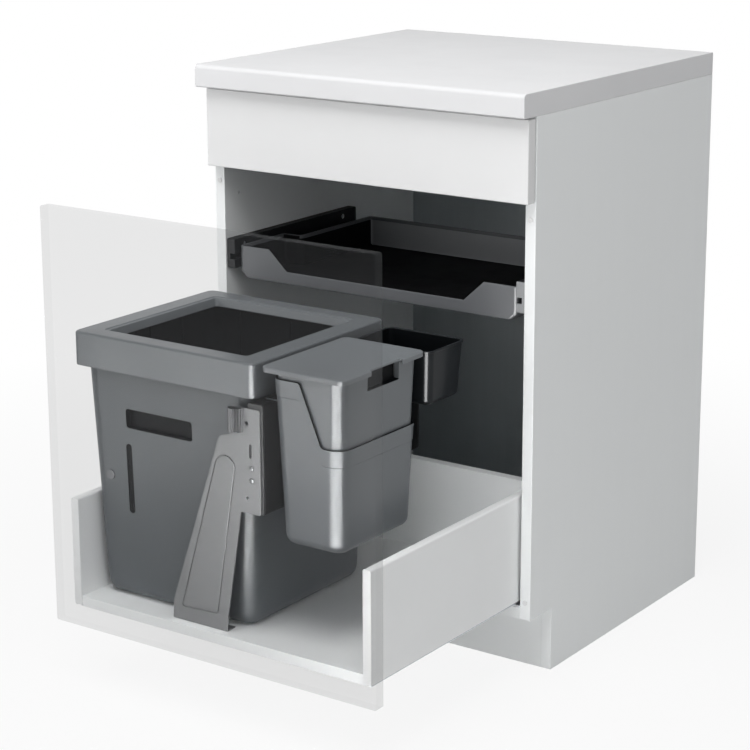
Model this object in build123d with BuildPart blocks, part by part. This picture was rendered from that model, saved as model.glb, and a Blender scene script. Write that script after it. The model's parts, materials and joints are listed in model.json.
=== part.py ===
"""Pull out waste cabinet for a fitted kitchen, 600 mm wide, shown with its drawer pulled out.

Frame: +Z up, X to the right, the front faces -Y. The origin is on the floor, under the middle
of the cabinet's box as it stands with the drawer 385 mm out. All sizes are in millimetres.
"""
import os
from math import atan2, degrees

from build123d import *

os.makedirs("parts", exist_ok=True)

# ------------------------------------------------------------------ driving dimensions
cabinet_width = 600.0
total_depth = 579.0  # from the fixed front's face to the back
total_height = 914.0
board = 18.0
front_thickness = 19.0
front_gap = 2.0  # between the back of a front and the carcass edge
front_reveal = 1.5
plinth_height = 102.0
toe_setback = 86.0
worktop_thickness = 36.0
worktop_front_overhang = 16.0
worktop_left_overhang = 8.0
front_joint_height = 749.5  # middle of the gap between the two fronts
opening = 385.0  # how far the drawer stands out
pilot_radius = 1.8  # hole for a screw's shank
pilot_depth = 11.0

wall_height = 170.0  # drawer wall
wall_thickness = 14.0
wall_leaf = 1.2
side_play = 5.0  # between a drawer wall and the side panel
floor_top = 143.0
floor_thickness = 16.0
drawer_length = 490.0

large_bin_top = 552.0
shell = 2.5  # wall of the moulded bins
beam_low = 335.0
beam_high = 498.0

tray_low = 566.0
tray_high = 619.0
tray_lip = 587.0

# ------------------------------------------------------------------ datums
left_face = -(cabinet_width + worktop_left_overhang) / 2 + worktop_left_overhang
centre = left_face + cabinet_width / 2
face_y = -(total_depth - opening) / 2
carcass_front = front_thickness + front_gap
carcass_top = total_height - worktop_thickness
half_inside = cabinet_width / 2 - board
back_board = 8.0
back_setback = 10.0
back_front = total_depth - back_setback - back_board
front_back = front_thickness - opening  # back of the drawer front, measured from the fixed face
wall_outer = half_inside - side_play
wall_inner = wall_outer - wall_thickness
wall_low = floor_top - 14.0
wall_high = wall_low + wall_height
LEFT, RIGHT = -1, 1
SIDES = ((LEFT, "left"), (RIGHT, "right"))


def across(low, high):
    """X range, from distances to the right of the carcass's left face."""
    return left_face + low, left_face + high


def behind(low, high):
    """Y range, from distances behind the fixed front's face; negative is in front of it."""
    return face_y + low, face_y + high


def off_centre(side, near, far):
    """X range on one side, from distances from the cabinet's middle plane."""
    return tuple(sorted((centre + side * near, centre + side * far)))


def middle(span):
    return (span[0] + span[1]) / 2


def inset(span, amount):
    return span[0] + amount, span[1] - amount


def block(x, y, z, mode=Mode.ADD):
    """A box between low and high corners, in the part that is being built."""
    with Locations((x[0], y[0], z[0])):
        corner = (Align.MIN, Align.MIN, Align.MIN)
        Box(x[1] - x[0], y[1] - y[0], z[1] - z[0], align=corner, mode=mode)


def rod(x, y, z, radius, axis, mode=Mode.ADD):
    """A cylinder along an axis; the axis's own coordinate is a low and high pair."""
    low, high = {"X": x, "Y": y, "Z": z}[axis]
    turn = {"X": (0, 90, 0), "Y": (90, 0, 0), "Z": (0, 0, 0)}[axis]
    half = (low + high) / 2
    spot = {"X": (half, y, z), "Y": (x, half, z), "Z": (x, y, half)}[axis]
    with Locations(spot):
        Cylinder(radius, high - low, rotation=turn, mode=mode)


def screw(x, y, z, axis, out, head=3.6, cap=1.8, shank=1.75, length=12.0):
    """A pan-head screw whose head sits on the face at x, y, z; out is the way it faces."""
    spot = {"X": x, "Y": y, "Z": z}
    top = spot[axis] + out * cap
    tip = spot[axis] - out * length
    for radius, end in ((head, top), (shank, tip)):
        run = dict(spot)
        run[axis] = tuple(sorted((spot[axis], end)))
        rod(run["X"], run["Y"], run["Z"], radius, axis)


def tub(x_low, y_low, z_low, x_high, y_high, z_high, corner, base_round):
    """A solid that tapers between two rounded rectangles, with a rounded base edge."""
    with BuildPart() as solid:
        for x, y, z in ((x_low, y_low, z_low), (x_high, y_high, z_high)):
            with BuildSketch(Plane.XY.offset(z)):
                with Locations((middle(x), middle(y))):
                    RectangleRounded(x[1] - x[0], y[1] - y[0], corner)
        loft()
        fillet(solid.faces().sort_by(Axis.Z)[0].edges(), base_round)
    return solid.part


def open_tub(x_low, y_low, z_low, x_high, y_high, z_high, corner, base_round):
    """A moulded tub: the same solid with an even wall and an open top."""
    outer = tub(x_low, y_low, z_low, x_high, y_high, z_high, corner, base_round)
    low = (inset(x_low, shell), inset(y_low, shell), z_low + shell)
    high = (inset(x_high, shell), inset(y_high, shell), z_high + 1)
    inner = tub(*low, *high, corner - shell, base_round - shell)
    with BuildPart() as hollow:
        add(outer)
        add(inner, mode=Mode.SUBTRACT)
    return hollow.part


def save(piece, name):
    piece.part.label = name
    export_step(piece.part, f"parts/{name}.step")


# ------------------------------------------------------------------ carcass boards
toe_y = face_y + toe_setback
carcass_y = face_y + carcass_front
back_y = face_y + total_depth
rail_screw_rows = (carcass_front + 40, carcass_front + 232, carcass_front + 424)
rail_screw_z = 148.0
tray_screw_rows = (carcass_front + 30, carcass_front + 300)
tray_screw_z = 619.0
neighbour_rows = (200.0, 700.0)
neighbour_setback = 37.0
neighbour_hole_radius = 2.5
groove = 8.0

for side, name in SIDES:
    with BuildPart() as side_panel:
        inner_x = centre + side * half_inside
        with BuildSketch(Plane.YZ.offset(inner_x)):
            with BuildLine():
                Polyline(
                    (carcass_y, plinth_height),
                    (carcass_y, carcass_top),
                    (back_y, carcass_top),
                    (back_y, 0),
                    (toe_y, 0),
                    (toe_y, plinth_height),
                    close=True,
                )
            make_face()
        extrude(amount=side * board)
        # groove for the back panel
        block(
            off_centre(side, half_inside, half_inside + groove),
            behind(back_front, back_front + back_board),
            (plinth_height, carcass_top),
            mode=Mode.SUBTRACT,
        )
        pilot = off_centre(side, half_inside, half_inside + pilot_depth)
        for row in rail_screw_rows:
            rod(pilot, face_y + row, rail_screw_z, pilot_radius, "X", Mode.SUBTRACT)
        for row in tray_screw_rows:
            rod(pilot, face_y + row, tray_screw_z, pilot_radius, "X", Mode.SUBTRACT)
        if side == LEFT:
            # two through holes for the screws that join the neighbouring cabinet
            through = off_centre(side, half_inside - 1, half_inside + board + 1)
            hole_y = carcass_y + neighbour_setback
            for row in neighbour_rows:
                rod(through, hole_y, row, neighbour_hole_radius, "X", Mode.SUBTRACT)
    save(side_panel, f"side_panel_{name}")

inside_x = off_centre(RIGHT, -half_inside, half_inside)
with BuildPart() as bottom_panel:
    block(inside_x, behind(carcass_front, back_front), (plinth_height, plinth_height + board))
save(bottom_panel, "bottom_panel")

wall_hole_spacing = 400.0
wall_hole_z = carcass_top - 50.0
wall_hole_radius = 3.0
wall_rail_depth = 16.0
wall_rail_height = 100.0
wall_holes = (centre - wall_hole_spacing / 2, centre + wall_hole_spacing / 2)
rear_zone = behind(back_front - wall_rail_depth - 1, back_front + back_board + 1)

with BuildPart() as back_panel:
    block(
        off_centre(RIGHT, -half_inside - groove + 0.5, half_inside + groove - 0.5),
        behind(back_front, back_front + back_board),
        (plinth_height, carcass_top),
    )
    for x in wall_holes:
        rod(x, rear_zone, wall_hole_z, wall_hole_radius, "Y", Mode.SUBTRACT)
save(back_panel, "back_panel")

with BuildPart() as top_rail_rear:
    rail_y = behind(back_front - wall_rail_depth, back_front)
    block(inside_x, rail_y, (carcass_top - wall_rail_height, carcass_top))
    for x in wall_holes:
        rod(x, rear_zone, wall_hole_z, wall_hole_radius, "Y", Mode.SUBTRACT)
save(top_rail_rear, "top_rail_rear")

top_rail_thickness = 16.0
top_rail_width = 90.0
worktop_screw_length = 30.0
worktop_screw_spots = [(centre + x, face_y + carcass_front + 60) for x in (-220, 0, 220)]
with BuildPart() as top_rail_front:
    rail_z = (carcass_top - top_rail_thickness, carcass_top)
    block(inside_x, behind(carcass_front, carcass_front + top_rail_width), rail_z)
    for x, y in worktop_screw_spots:
        rod(x, y, (rail_z[0] - 1, rail_z[1] + 1), pilot_radius + 0.4, "Z", Mode.SUBTRACT)
save(top_rail_front, "top_rail_front")

with BuildPart() as worktop:
    block(
        across(-worktop_left_overhang, cabinet_width),
        behind(-worktop_front_overhang, total_depth),
        (carcass_top, total_height),
    )
    front_edges = worktop.faces().sort_by(Axis.Y)[0].edges().filter_by(Axis.X)
    fillet(front_edges.sort_by(Axis.Z)[-1], 7.0)
    front_edges = worktop.faces().sort_by(Axis.Y)[0].edges().filter_by(Axis.X)
    fillet(front_edges.sort_by(Axis.Z)[0], 3.0)
    pilot_top = carcass_top - top_rail_thickness + worktop_screw_length + 1
    for x, y in worktop_screw_spots:
        rod(x, y, (carcass_top, pilot_top), pilot_radius, "Z", Mode.SUBTRACT)
save(worktop, "worktop")

with BuildPart() as worktop_screws:
    for x, y in worktop_screw_spots:
        under = carcass_top - top_rail_thickness
        screw(x, y, under, "Z", -1, head=4.5, cap=2.2, length=worktop_screw_length)
save(worktop_screws, "worktop_screws")

plinth_board_thickness = 16.0
plinth_block = 30.0
with BuildPart() as plinth_board:
    block(inside_x, behind(toe_setback, toe_setback + plinth_board_thickness), (0, plinth_height - 2))
save(plinth_board, "plinth_board")

with BuildPart() as plinth_blocks:
    for side, name in SIDES:
        start = toe_setback + plinth_board_thickness
        block(
            off_centre(side, half_inside - plinth_block, half_inside),
            behind(start, start + plinth_block),
            (20, plinth_height),
        )
save(plinth_blocks, "plinth_blocks")

# ------------------------------------------------------------------ fixed front
front_x = across(front_reveal, cabinet_width - front_reveal)
fixed_front_z = (front_joint_height + front_reveal, carcass_top - 3)
fixed_bracket_z = (790.0, 840.0)
fixed_bracket_reach = 34.0
sheet = 1.5
bracket_screw_spots = [
    (centre + side * (half_inside - 22), z) for side, name in SIDES for z in (803.0, 827.0)
]

with BuildPart() as fixed_front:
    block(front_x, behind(0, front_thickness), fixed_front_z)
    fillet(fixed_front.faces().sort_by(Axis.Y)[0].edges(), 1.2)
    for x, z in bracket_screw_spots:
        pilot = behind(front_thickness - pilot_depth, front_thickness)
        rod(x, pilot, z, pilot_radius, "Y", Mode.SUBTRACT)
save(fixed_front, "fixed_front")

with BuildPart() as fixed_front_brackets:
    for side, name in SIDES:
        face_leg = off_centre(side, half_inside - fixed_bracket_reach, half_inside)
        side_leg = off_centre(side, half_inside - sheet, half_inside)
        block(face_leg, behind(front_thickness, front_thickness + sheet), fixed_bracket_z)
        block(side_leg, behind(front_thickness, front_thickness + 45), fixed_bracket_z)
    for x, z in bracket_screw_spots:
        rod(x, behind(front_thickness - 1, front_thickness + 3), z, pilot_radius, "Y", Mode.SUBTRACT)
save(fixed_front_brackets, "fixed_front_brackets")

with BuildPart() as fixed_front_screws:
    for x, z in bracket_screw_spots:
        screw(x, face_y + front_thickness + sheet, z, "Y", 1, length=11.0)
save(fixed_front_screws, "fixed_front_screws")

bumper_thickness = 1.5
with BuildPart() as bumpers:
    for side, name in SIDES:
        for z in (130.0, 725.0):
            pad_y = behind(carcass_front - bumper_thickness, carcass_front)
            rod(centre + side * (half_inside + board / 2), pad_y, z, 4.0, "Y")
save(bumpers, "bumpers")

# ------------------------------------------------------------------ drawer runners
# Three channels nest inside the hollow drawer wall, about one upright. Distances are
# from the middle of the wall, sideways.
wall_middle = wall_outer - wall_thickness / 2
shelf_z = (120.5, 122.0)
cabinet_rail_length = 496.0
centre_rail_length = 460.0
drawer_rail_length = 470.0
channel = 1.2
upright_half = 0.8
upright_top = 150.0
side_leaf_top = 165.0
centre_half = 2.8
centre_z = (124.0, 153.0)
drawer_half = wall_thickness / 2 - wall_leaf
drawer_rail_z = (127.0, 156.0)
rail_start = carcass_front + 3


def hood(middle_x, half, y, z):
    """An upside-down channel about a vertical middle plane."""
    across_x = (middle_x - half, middle_x + half)
    block(across_x, y, z)
    block(inset(across_x, channel), y, (z[0], z[1] - channel), Mode.SUBTRACT)


for side, name in SIDES:
    rail_x = centre + side * wall_middle
    web_x = off_centre(side, half_inside - sheet, half_inside)

    with BuildPart() as cabinet_rail:
        rail_y = behind(rail_start, rail_start + cabinet_rail_length)
        block(web_x, rail_y, (shelf_z[0], side_leaf_top))
        block(off_centre(side, wall_middle - upright_half, half_inside), rail_y, shelf_z)
        block((rail_x - upright_half, rail_x + upright_half), rail_y, (shelf_z[0], upright_top))
        for row in rail_screw_rows:
            hole_x = off_centre(side, half_inside - 3, half_inside + 1)
            rod(hole_x, face_y + row, rail_screw_z, pilot_radius, "X", Mode.SUBTRACT)
    save(cabinet_rail, f"cabinet_rail_{name}")

    with BuildPart() as centre_rail:
        closed_start = carcass_front + 5
        start = closed_start - opening / 2
        hood(rail_x, centre_half, behind(start, start + centre_rail_length), centre_z)
    save(centre_rail, f"centre_rail_{name}")

    with BuildPart() as drawer_rail:
        start = front_back + 2
        hood(rail_x, drawer_half, behind(start, start + drawer_rail_length), drawer_rail_z)
    save(drawer_rail, f"drawer_rail_{name}")

with BuildPart() as rail_screws:
    for side, name in SIDES:
        for row in rail_screw_rows:
            face = centre + side * (half_inside - sheet)
            screw(face, face_y + row, rail_screw_z, "X", -side, head=3.4, cap=1.2, length=11.0)
save(rail_screws, "rail_screws")

with BuildPart() as end_stops:
    for side, name in SIDES:
        stop_x = off_centre(side, wall_middle + upright_half, half_inside - sheet)
        stop_y = front_thickness + drawer_length + 2
        block(stop_x, behind(stop_y, stop_y + 8), (shelf_z[1], upright_top))
save(end_stops, "end_stops")

# ------------------------------------------------------------------ drawer
fixing_sheet = 1.5
drawer_start = front_back + fixing_sheet
drawer_end = front_back + drawer_length
drawer_back_thickness = 16.0
between_walls = off_centre(RIGHT, -wall_inner, wall_inner)
front_screw_spots = [
    (centre + side * wall_middle, z) for side, name in SIDES for z in (190.0, 230.0, 270.0)
]

with BuildPart() as pullout_front:
    low_edge = plinth_height + 2
    block(front_x, behind(-opening, front_back), (low_edge, front_joint_height - front_reveal))
    fillet(pullout_front.edges(), 1.8)
    for x, z in front_screw_spots:
        rod(x, behind(front_back - pilot_depth, front_back), z, pilot_radius, "Y", Mode.SUBTRACT)
save(pullout_front, "pullout_front")

with BuildPart() as front_screws:
    for x, z in front_screw_spots:
        screw(x, face_y + drawer_start, z, "Y", 1, length=12.0)
save(front_screws, "front_screws")

for side, name in SIDES:
    # a plate that closes the wall's front end, with a tab inside the hollow wall
    with BuildPart() as front_fixing:
        plate = off_centre(side, wall_inner, wall_outer)
        tab = off_centre(side, wall_inner + wall_leaf, wall_inner + wall_leaf + fixing_sheet)
        block(plate, behind(front_back, drawer_start), (wall_low, wall_high))
        block(tab, behind(front_back, front_back + 45), (drawer_rail_z[1] + 6, wall_high - 12))
        for x, z in front_screw_spots:
            rod(x, behind(front_back - 1, front_back + 3), z, pilot_radius, "Y", Mode.SUBTRACT)
    save(front_fixing, f"front_fixing_{name}")

    with BuildPart() as drawer_wall:
        length = behind(drawer_start, drawer_end)
        block(off_centre(side, wall_inner, wall_outer), length, (wall_low, wall_high))
        fillet(drawer_wall.faces().sort_by(Axis.Z)[-1].edges().filter_by(Axis.Y), 2.5)
        hollow = off_centre(side, wall_inner + wall_leaf, wall_outer - wall_leaf)
        block(hollow, length, (wall_low, wall_high - 2.6), Mode.SUBTRACT)
    save(drawer_wall, f"drawer_wall_{name}")

with BuildPart() as drawer_floor:
    block(between_walls, behind(drawer_start, drawer_end), (floor_top - floor_thickness, floor_top))
save(drawer_floor, "drawer_floor")

with BuildPart() as drawer_back:
    block(
        between_walls,
        behind(drawer_end - drawer_back_thickness, drawer_end),
        (floor_top, wall_high - 8),
    )
save(drawer_back, "drawer_back")

# ------------------------------------------------------------------ hanging beam and its legs
beam_x = across(354, 380)
beam_start = -345.0
beam_end = 40.0
beam_wall = 2.0
cap_thickness = 4.0
leg_sheet = 2.0
hook_z = (beam_high, beam_high + 3)
pair_spots = [(left_face + 360, z) for z in (402.0, 384.0)]
foot_screw_x = (left_face + 232, left_face + 288)
foot_depth = 20.0
rear_lean = 70.0  # the rear foot stands this much further to the left

with BuildPart() as hanging_beam:
    beam_y = behind(beam_start, beam_end)
    block(beam_x, beam_y, (beam_low, beam_high))
    inside = inset((beam_low, beam_high), beam_wall)
    block(inset(beam_x, beam_wall), beam_y, inside, Mode.SUBTRACT)
save(hanging_beam, "hanging_beam")

for end, toward, name in ((beam_start, -1, "front"), (beam_end, 1, "rear")):
    with BuildPart() as end_cap:
        outer = tuple(sorted((end, end + toward * cap_thickness)))
        plug = tuple(sorted((end, end - toward * 14)))
        block(beam_x, behind(*outer), (beam_low, beam_high))
        plug_z = inset((beam_low, beam_high), beam_wall + 0.1)
        block(inset(beam_x, beam_wall + 0.1), behind(*plug), plug_z)
        for x, z in pair_spots:
            deep = tuple(sorted((end + toward * cap_thickness, end - toward * 6)))
            rod(x, behind(*deep), z, pilot_radius, "Y", Mode.SUBTRACT)
    save(end_cap, f"beam_end_cap_{name}")


def leg_outline(lean):
    """The stamped leg with its upright plate, seen from the front, as X and Z."""
    spots = [
        (207 - lean, floor_top),
        (209 - lean, 172),
        (300, 437),
        (306, 443),
        (322, 447),
        (322, 490),
        (376, 490),
        (376, 334),
        (340, 334),
        (312 - lean, 168),
        (310 - lean, floor_top),
    ]
    return [(left_face + x, z) for x, z in spots]


def leg_bracket(plate_y, toward, lean, details):
    """A bracket in the sheet that starts at plate_y; toward is the way its foot points."""
    base = Plane((0, plate_y, 0), x_dir=(1, 0, 0), z_dir=(0, -1, 0))
    with BuildPart() as bracket:
        with BuildSketch(base):
            with BuildLine():
                Polyline(*leg_outline(lean), close=True)
            make_face()
        extrude(amount=-toward * leg_sheet)
        foot = tuple(sorted((plate_y, plate_y + toward * foot_depth)))
        block(across(209 - lean, 309 - lean), foot, (floor_top, floor_top + leg_sheet))
        foot_middle = plate_y + toward * foot_depth * 0.6
        for x in foot_screw_x:
            hole_z = (floor_top - 1, floor_top + 4)
            rod(x - lean, foot_middle, hole_z, pilot_radius, "Z", Mode.SUBTRACT)
        if details:
            # raised panel with an arched top
            with BuildSketch(base):
                with BuildLine():
                    low_left = (left_face + 226, 166)
                    low_right = (left_face + 293, 169)
                    high_right = (left_face + 331, 402)
                    high_left = (left_face + 296, 402)
                    crown = (left_face + 313, 418)
                    Line(low_left, low_right)
                    Line(low_right, high_right)
                    ThreePointArc(high_right, crown, high_left)
                    Line(high_left, low_left)
                make_face()
            extrude(amount=1.0)
            plate_run = (plate_y - 4, plate_y + 4)
            rod(left_face + 353, plate_run, 468, 3.0, "Y", Mode.SUBTRACT)
            rod(left_face + 352, plate_run, 357, 2.6, "Y", Mode.SUBTRACT)
            block(across(356.5, 361), plate_run, (417, 438), Mode.SUBTRACT)
        for x, z in pair_spots:
            rod(x, (plate_y - 4, plate_y + 4), z, pilot_radius, "Y", Mode.SUBTRACT)
    return bracket


front_plate_y = face_y + beam_start - cap_thickness - leg_sheet
rear_plate_y = face_y + beam_end + cap_thickness + leg_sheet
front_leg_bracket = leg_bracket(front_plate_y, 1, 0, True)
save(front_leg_bracket, "front_leg_bracket")
rear_leg_bracket = leg_bracket(rear_plate_y, -1, rear_lean, False)
save(rear_leg_bracket, "rear_leg_bracket")

with BuildPart() as bracket_screws:
    for plate_y, out, lean in ((front_plate_y, -1, 0), (rear_plate_y, 1, rear_lean)):
        for x, z in pair_spots:
            screw(x, plate_y, z, "Y", out, head=4.0, cap=2.2, length=10.0)
        for x in foot_screw_x:
            foot_middle = plate_y - out * foot_depth * 0.6
            screw(x - lean, foot_middle, floor_top + leg_sheet, "Z", 1, length=leg_sheet)
save(bracket_screws, "bracket_screws")

# fluted buffer on the bracket's upper tab
buffer_radius = 12.0
buffer_z = (454.0, 489.0)
flutes = 9
flute_radius = 1.3
with BuildPart() as ribbed_buffer:
    buffer_x = left_face + 334
    with BuildSketch(Plane.XY.offset(buffer_z[0])):
        with Locations((buffer_x, front_plate_y)):
            Circle(buffer_radius)
            half_turn = {"start_angle": 180, "angular_range": 180, "endpoint": True}
            with PolarLocations(buffer_radius, flutes, **half_turn):
                Circle(flute_radius, mode=Mode.SUBTRACT)
        with Locations((buffer_x, front_plate_y)):
            behind_plate = (Align.CENTER, Align.MIN)
            Rectangle(3 * buffer_radius, 3 * buffer_radius, align=behind_plate, mode=Mode.SUBTRACT)
    extrude(amount=buffer_z[1] - buffer_z[0])
save(ribbed_buffer, "ribbed_buffer")

# ------------------------------------------------------------------ large bin and its bag frame
frame_x = across(22, 362)
frame_y = behind(-347, -24)
frame_z = (503.0, 555.0)
frame_wall = 3.0
mouth_x = across(66, 320)
mouth_y = behind(-308, -64)
bin_top_x = across(30, 350)
bin_top_y = behind(-339, -32)
bin_base_x = across(44, 336)
bin_base_y = behind(-324, -47)
grip_x = across(111, 238)
grip_z = (416.0, 446.0)
grip_depth = 10.0
groove_x = across(108, 119)
bin_groove_z = (281.0, 391.0)
groove_depth = 1.2
boss_centre = (left_face + 74, 336.0)
boss_size = (38.0, 22.0)
boss_height = 1.2

large_bin_body = open_tub(
    bin_base_x, bin_base_y, floor_top, bin_top_x, bin_top_y, large_bin_top, 26.0, 20.0
)
with BuildPart() as large_bin:
    add(large_bin_body)
    # rim flange under the bag frame
    with BuildSketch(Plane.XY.offset(large_bin_top - 3)):
        rim_x, rim_y = inset(frame_x, frame_wall + 2), inset(frame_y, frame_wall + 2)
        with Locations((middle(rim_x), middle(rim_y))):
            RectangleRounded(rim_x[1] - rim_x[0], rim_y[1] - rim_y[0], 24)
        with Locations((middle(bin_top_x), middle(bin_top_y))):
            mouth = (bin_top_x[1] - bin_top_x[0] - 2 * shell, bin_top_y[1] - bin_top_y[0] - 2 * shell)
            RectangleRounded(*mouth, 23.5, mode=Mode.SUBTRACT)
    extrude(amount=3)
    # recessed grip in the front wall
    front_wall = face_y - 333.5
    pocket_y = (front_wall, front_wall + grip_depth + shell)
    block(inset(grip_x, -shell), pocket_y, inset(grip_z, -shell))
    block(grip_x, (front_wall - 8, front_wall + grip_depth), grip_z, Mode.SUBTRACT)
    # shallow upright groove and a plain oval boss, square to the sloping front wall
    wall_slope = degrees(atan2(bin_base_y[0] - bin_top_y[0], large_bin_top - floor_top))
    wall_plane = Plane((0, bin_base_y[0], floor_top), x_dir=(1, 0, 0), z_dir=(0, -1, 0))
    wall_plane = wall_plane.rotated((wall_slope, 0, 0))
    with BuildSketch(wall_plane):
        with Locations((middle(groove_x), middle(bin_groove_z) - floor_top)):
            SlotCenterToCenter(
                bin_groove_z[1] - bin_groove_z[0] - (groove_x[1] - groove_x[0]),
                groove_x[1] - groove_x[0],
                rotation=90,
            )
    extrude(amount=-groove_depth, mode=Mode.SUBTRACT)
    with BuildSketch(wall_plane):
        with Locations((boss_centre[0], boss_centre[1] - floor_top)):
            Ellipse(boss_size[0] / 2, boss_size[1] / 2)
    extrude(amount=boss_height, both=False)
save(large_bin, "large_bin")

with BuildPart() as bag_frame:
    block(frame_x, frame_y, frame_z)
    fillet(bag_frame.edges().filter_by(Axis.Z), 9.0)
    fillet(bag_frame.faces().sort_by(Axis.Z)[-1].edges(), 3.5)
    block(
        inset(frame_x, frame_wall),
        inset(frame_y, frame_wall),
        (frame_z[0], frame_z[1] - frame_wall),
        Mode.SUBTRACT,
    )
    # lip that goes down into the bin's mouth
    lip_z = (541.0, frame_z[1] - frame_wall)
    block(inset(mouth_x, -frame_wall), inset(mouth_y, -frame_wall), lip_z)
    block(mouth_x, mouth_y, (lip_z[0], frame_z[1]), Mode.SUBTRACT)
    inner_top = bag_frame.faces().filter_by(Axis.Z).sort_by(Axis.Z)[-1].inner_wires()[0].edges()
    fillet(inner_top, 2.0)
save(bag_frame, "bag_frame")

# ------------------------------------------------------------------ organics bin in its holder
holder_base_x = across(395, 503)
holder_base_y = behind(-331, -153)
holder_top_x = across(386, 512)
holder_top_y = behind(-340, -144)
holder_z = (292.0, 538.0)
step_z = 448.0
step_x = (left_face + 438, left_face + 473)
play = 0.8
organics_top = 550.0
lid_x = across(372, 516)
lid_y = behind(-344, -140)
lid_z = (545.0, 553.0)
notch_y = behind(-275, -198)
notch_z = 522.0

holder_body = open_tub(
    holder_base_x, holder_base_y, holder_z[0], holder_top_x, holder_top_y, holder_z[1], 18.0, 14.0
)
with BuildPart() as organics_holder:
    add(holder_body)
    # the wall steps down from the beam side to the room side
    cut_plane = Plane((0, holder_top_y[1] + 5, 0), x_dir=(1, 0, 0), z_dir=(0, -1, 0))
    with BuildSketch(cut_plane):
        with BuildLine():
            high = holder_z[1] + 20
            Polyline(
                (step_x[0], high),
                (step_x[0], holder_z[1]),
                (step_x[1], step_z),
                (holder_top_x[1] + 10, step_z),
                (holder_top_x[1] + 10, high),
                close=True,
            )
        make_face()
    extrude(amount=holder_top_y[1] - holder_top_y[0] + 10, mode=Mode.SUBTRACT)
    # flange that hangs on the beam
    block(across(364, 389), behind(-320, -165), hook_z)
save(organics_holder, "organics_holder")

slope = (holder_base_x[0] - holder_top_x[0]) / (holder_z[1] - holder_z[0])
bin_gap = shell + play
organics_rise = (organics_top - holder_z[0]) * slope
organics_base_z = holder_z[0] + shell + 0.3
organics_body = open_tub(
    inset(holder_base_x, bin_gap),
    inset(holder_base_y, bin_gap),
    organics_base_z,
    inset(holder_base_x, bin_gap - organics_rise),
    inset(holder_base_y, bin_gap - organics_rise),
    organics_top,
    15.0,
    11.0,
)
with BuildPart() as organics_bin:
    add(organics_body)
    with BuildSketch(Plane.XY.offset(organics_top - 3)):
        rim_x, rim_y = inset(lid_x, shell + 1.5), inset(lid_y, shell + 1.5)
        with Locations((middle(rim_x), middle(rim_y))):
            RectangleRounded(rim_x[1] - rim_x[0], rim_y[1] - rim_y[0], 10)
        body_x = inset(holder_base_x, bin_gap - organics_rise + shell)
        body_y = inset(holder_base_y, bin_gap - organics_rise + shell)
        with Locations((middle(body_x), middle(body_y))):
            RectangleRounded(body_x[1] - body_x[0], body_y[1] - body_y[0], 12.5, mode=Mode.SUBTRACT)
    extrude(amount=3)
    # finger recess in the room side, under the lid
    recess_x = left_face + 499
    block((recess_x - shell, left_face + 507), inset(notch_y, -shell), (notch_z - shell, organics_top))
    block((recess_x, lid_x[1]), notch_y, (notch_z, organics_top), Mode.SUBTRACT)
save(organics_bin, "organics_bin")

with BuildPart() as organics_lid:
    block(lid_x, lid_y, lid_z)
    fillet(organics_lid.edges().filter_by(Axis.Z), 10.0)
    fillet(organics_lid.faces().sort_by(Axis.Z)[-1].edges(), 1.6)
    with BuildSketch(Plane.XY.offset(lid_z[0])):
        skirt_x, skirt_y = inset(lid_x, shell), inset(lid_y, shell)
        with Locations((middle(skirt_x), middle(skirt_y))):
            RectangleRounded(skirt_x[1] - skirt_x[0], skirt_y[1] - skirt_y[0], 7.5)
    extrude(amount=organics_top - lid_z[0], mode=Mode.SUBTRACT)
    block((lid_x[1] - 5, lid_x[1] + 1), notch_y, lid_z, Mode.SUBTRACT)
save(organics_lid, "organics_lid")

# ------------------------------------------------------------------ utility box
utility_top_x = across(382, 517)
utility_top_y = behind(-132, -38)
utility_z = (464.0, 548.0)
utility_body = open_tub(
    inset(utility_top_x, 5),
    inset(utility_top_y, 5),
    utility_z[0],
    utility_top_x,
    utility_top_y,
    utility_z[1],
    12.0,
    8.0,
)
with BuildPart() as utility_box:
    add(utility_body)
    with BuildSketch(Plane.XY.offset(utility_z[1] - 3)):
        rim_x, rim_y = inset(utility_top_x, -1.5), inset(utility_top_y, -1.5)
        with Locations((middle(rim_x), middle(rim_y))):
            RectangleRounded(rim_x[1] - rim_x[0], rim_y[1] - rim_y[0], 13.5)
        with Locations((middle(utility_top_x), middle(utility_top_y))):
            size = (utility_top_x[1] - utility_top_x[0], utility_top_y[1] - utility_top_y[0])
            RectangleRounded(size[0] - 2 * shell, size[1] - 2 * shell, 9.5, mode=Mode.SUBTRACT)
    extrude(amount=3)
    block(across(364, 386), behind(-118, -52), hook_z)
save(utility_box, "utility_box")

# ------------------------------------------------------------------ utensil tray above the bins
tray_wide = 264.0  # half width of the front part
tray_narrow = 230.0  # half width of the part between the runners
tray_front = 33.0
tray_step = 153.0
tray_end = 353.0
tray_wall = 3.0
tray_floor = 2.5
tray_corner = 8.0
tray_base_chamfer = 12.0


def tray_outline(shrink, tuck=0.0):
    """Outline of the tray from above, drawn in evenly, and more at its wide ends by the tuck."""
    wide, narrow = tray_wide - shrink - tuck, tray_narrow - shrink
    front, step, end = tray_front + shrink, tray_step - shrink, tray_end - shrink
    spots = [
        (-wide, front),
        (wide, front),
        (wide, step),
        (narrow, step),
        (narrow, end),
        (-narrow, end),
        (-narrow, step),
        (-wide, step),
    ]
    return [(centre + x, face_y + y) for x, y in spots]


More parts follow.
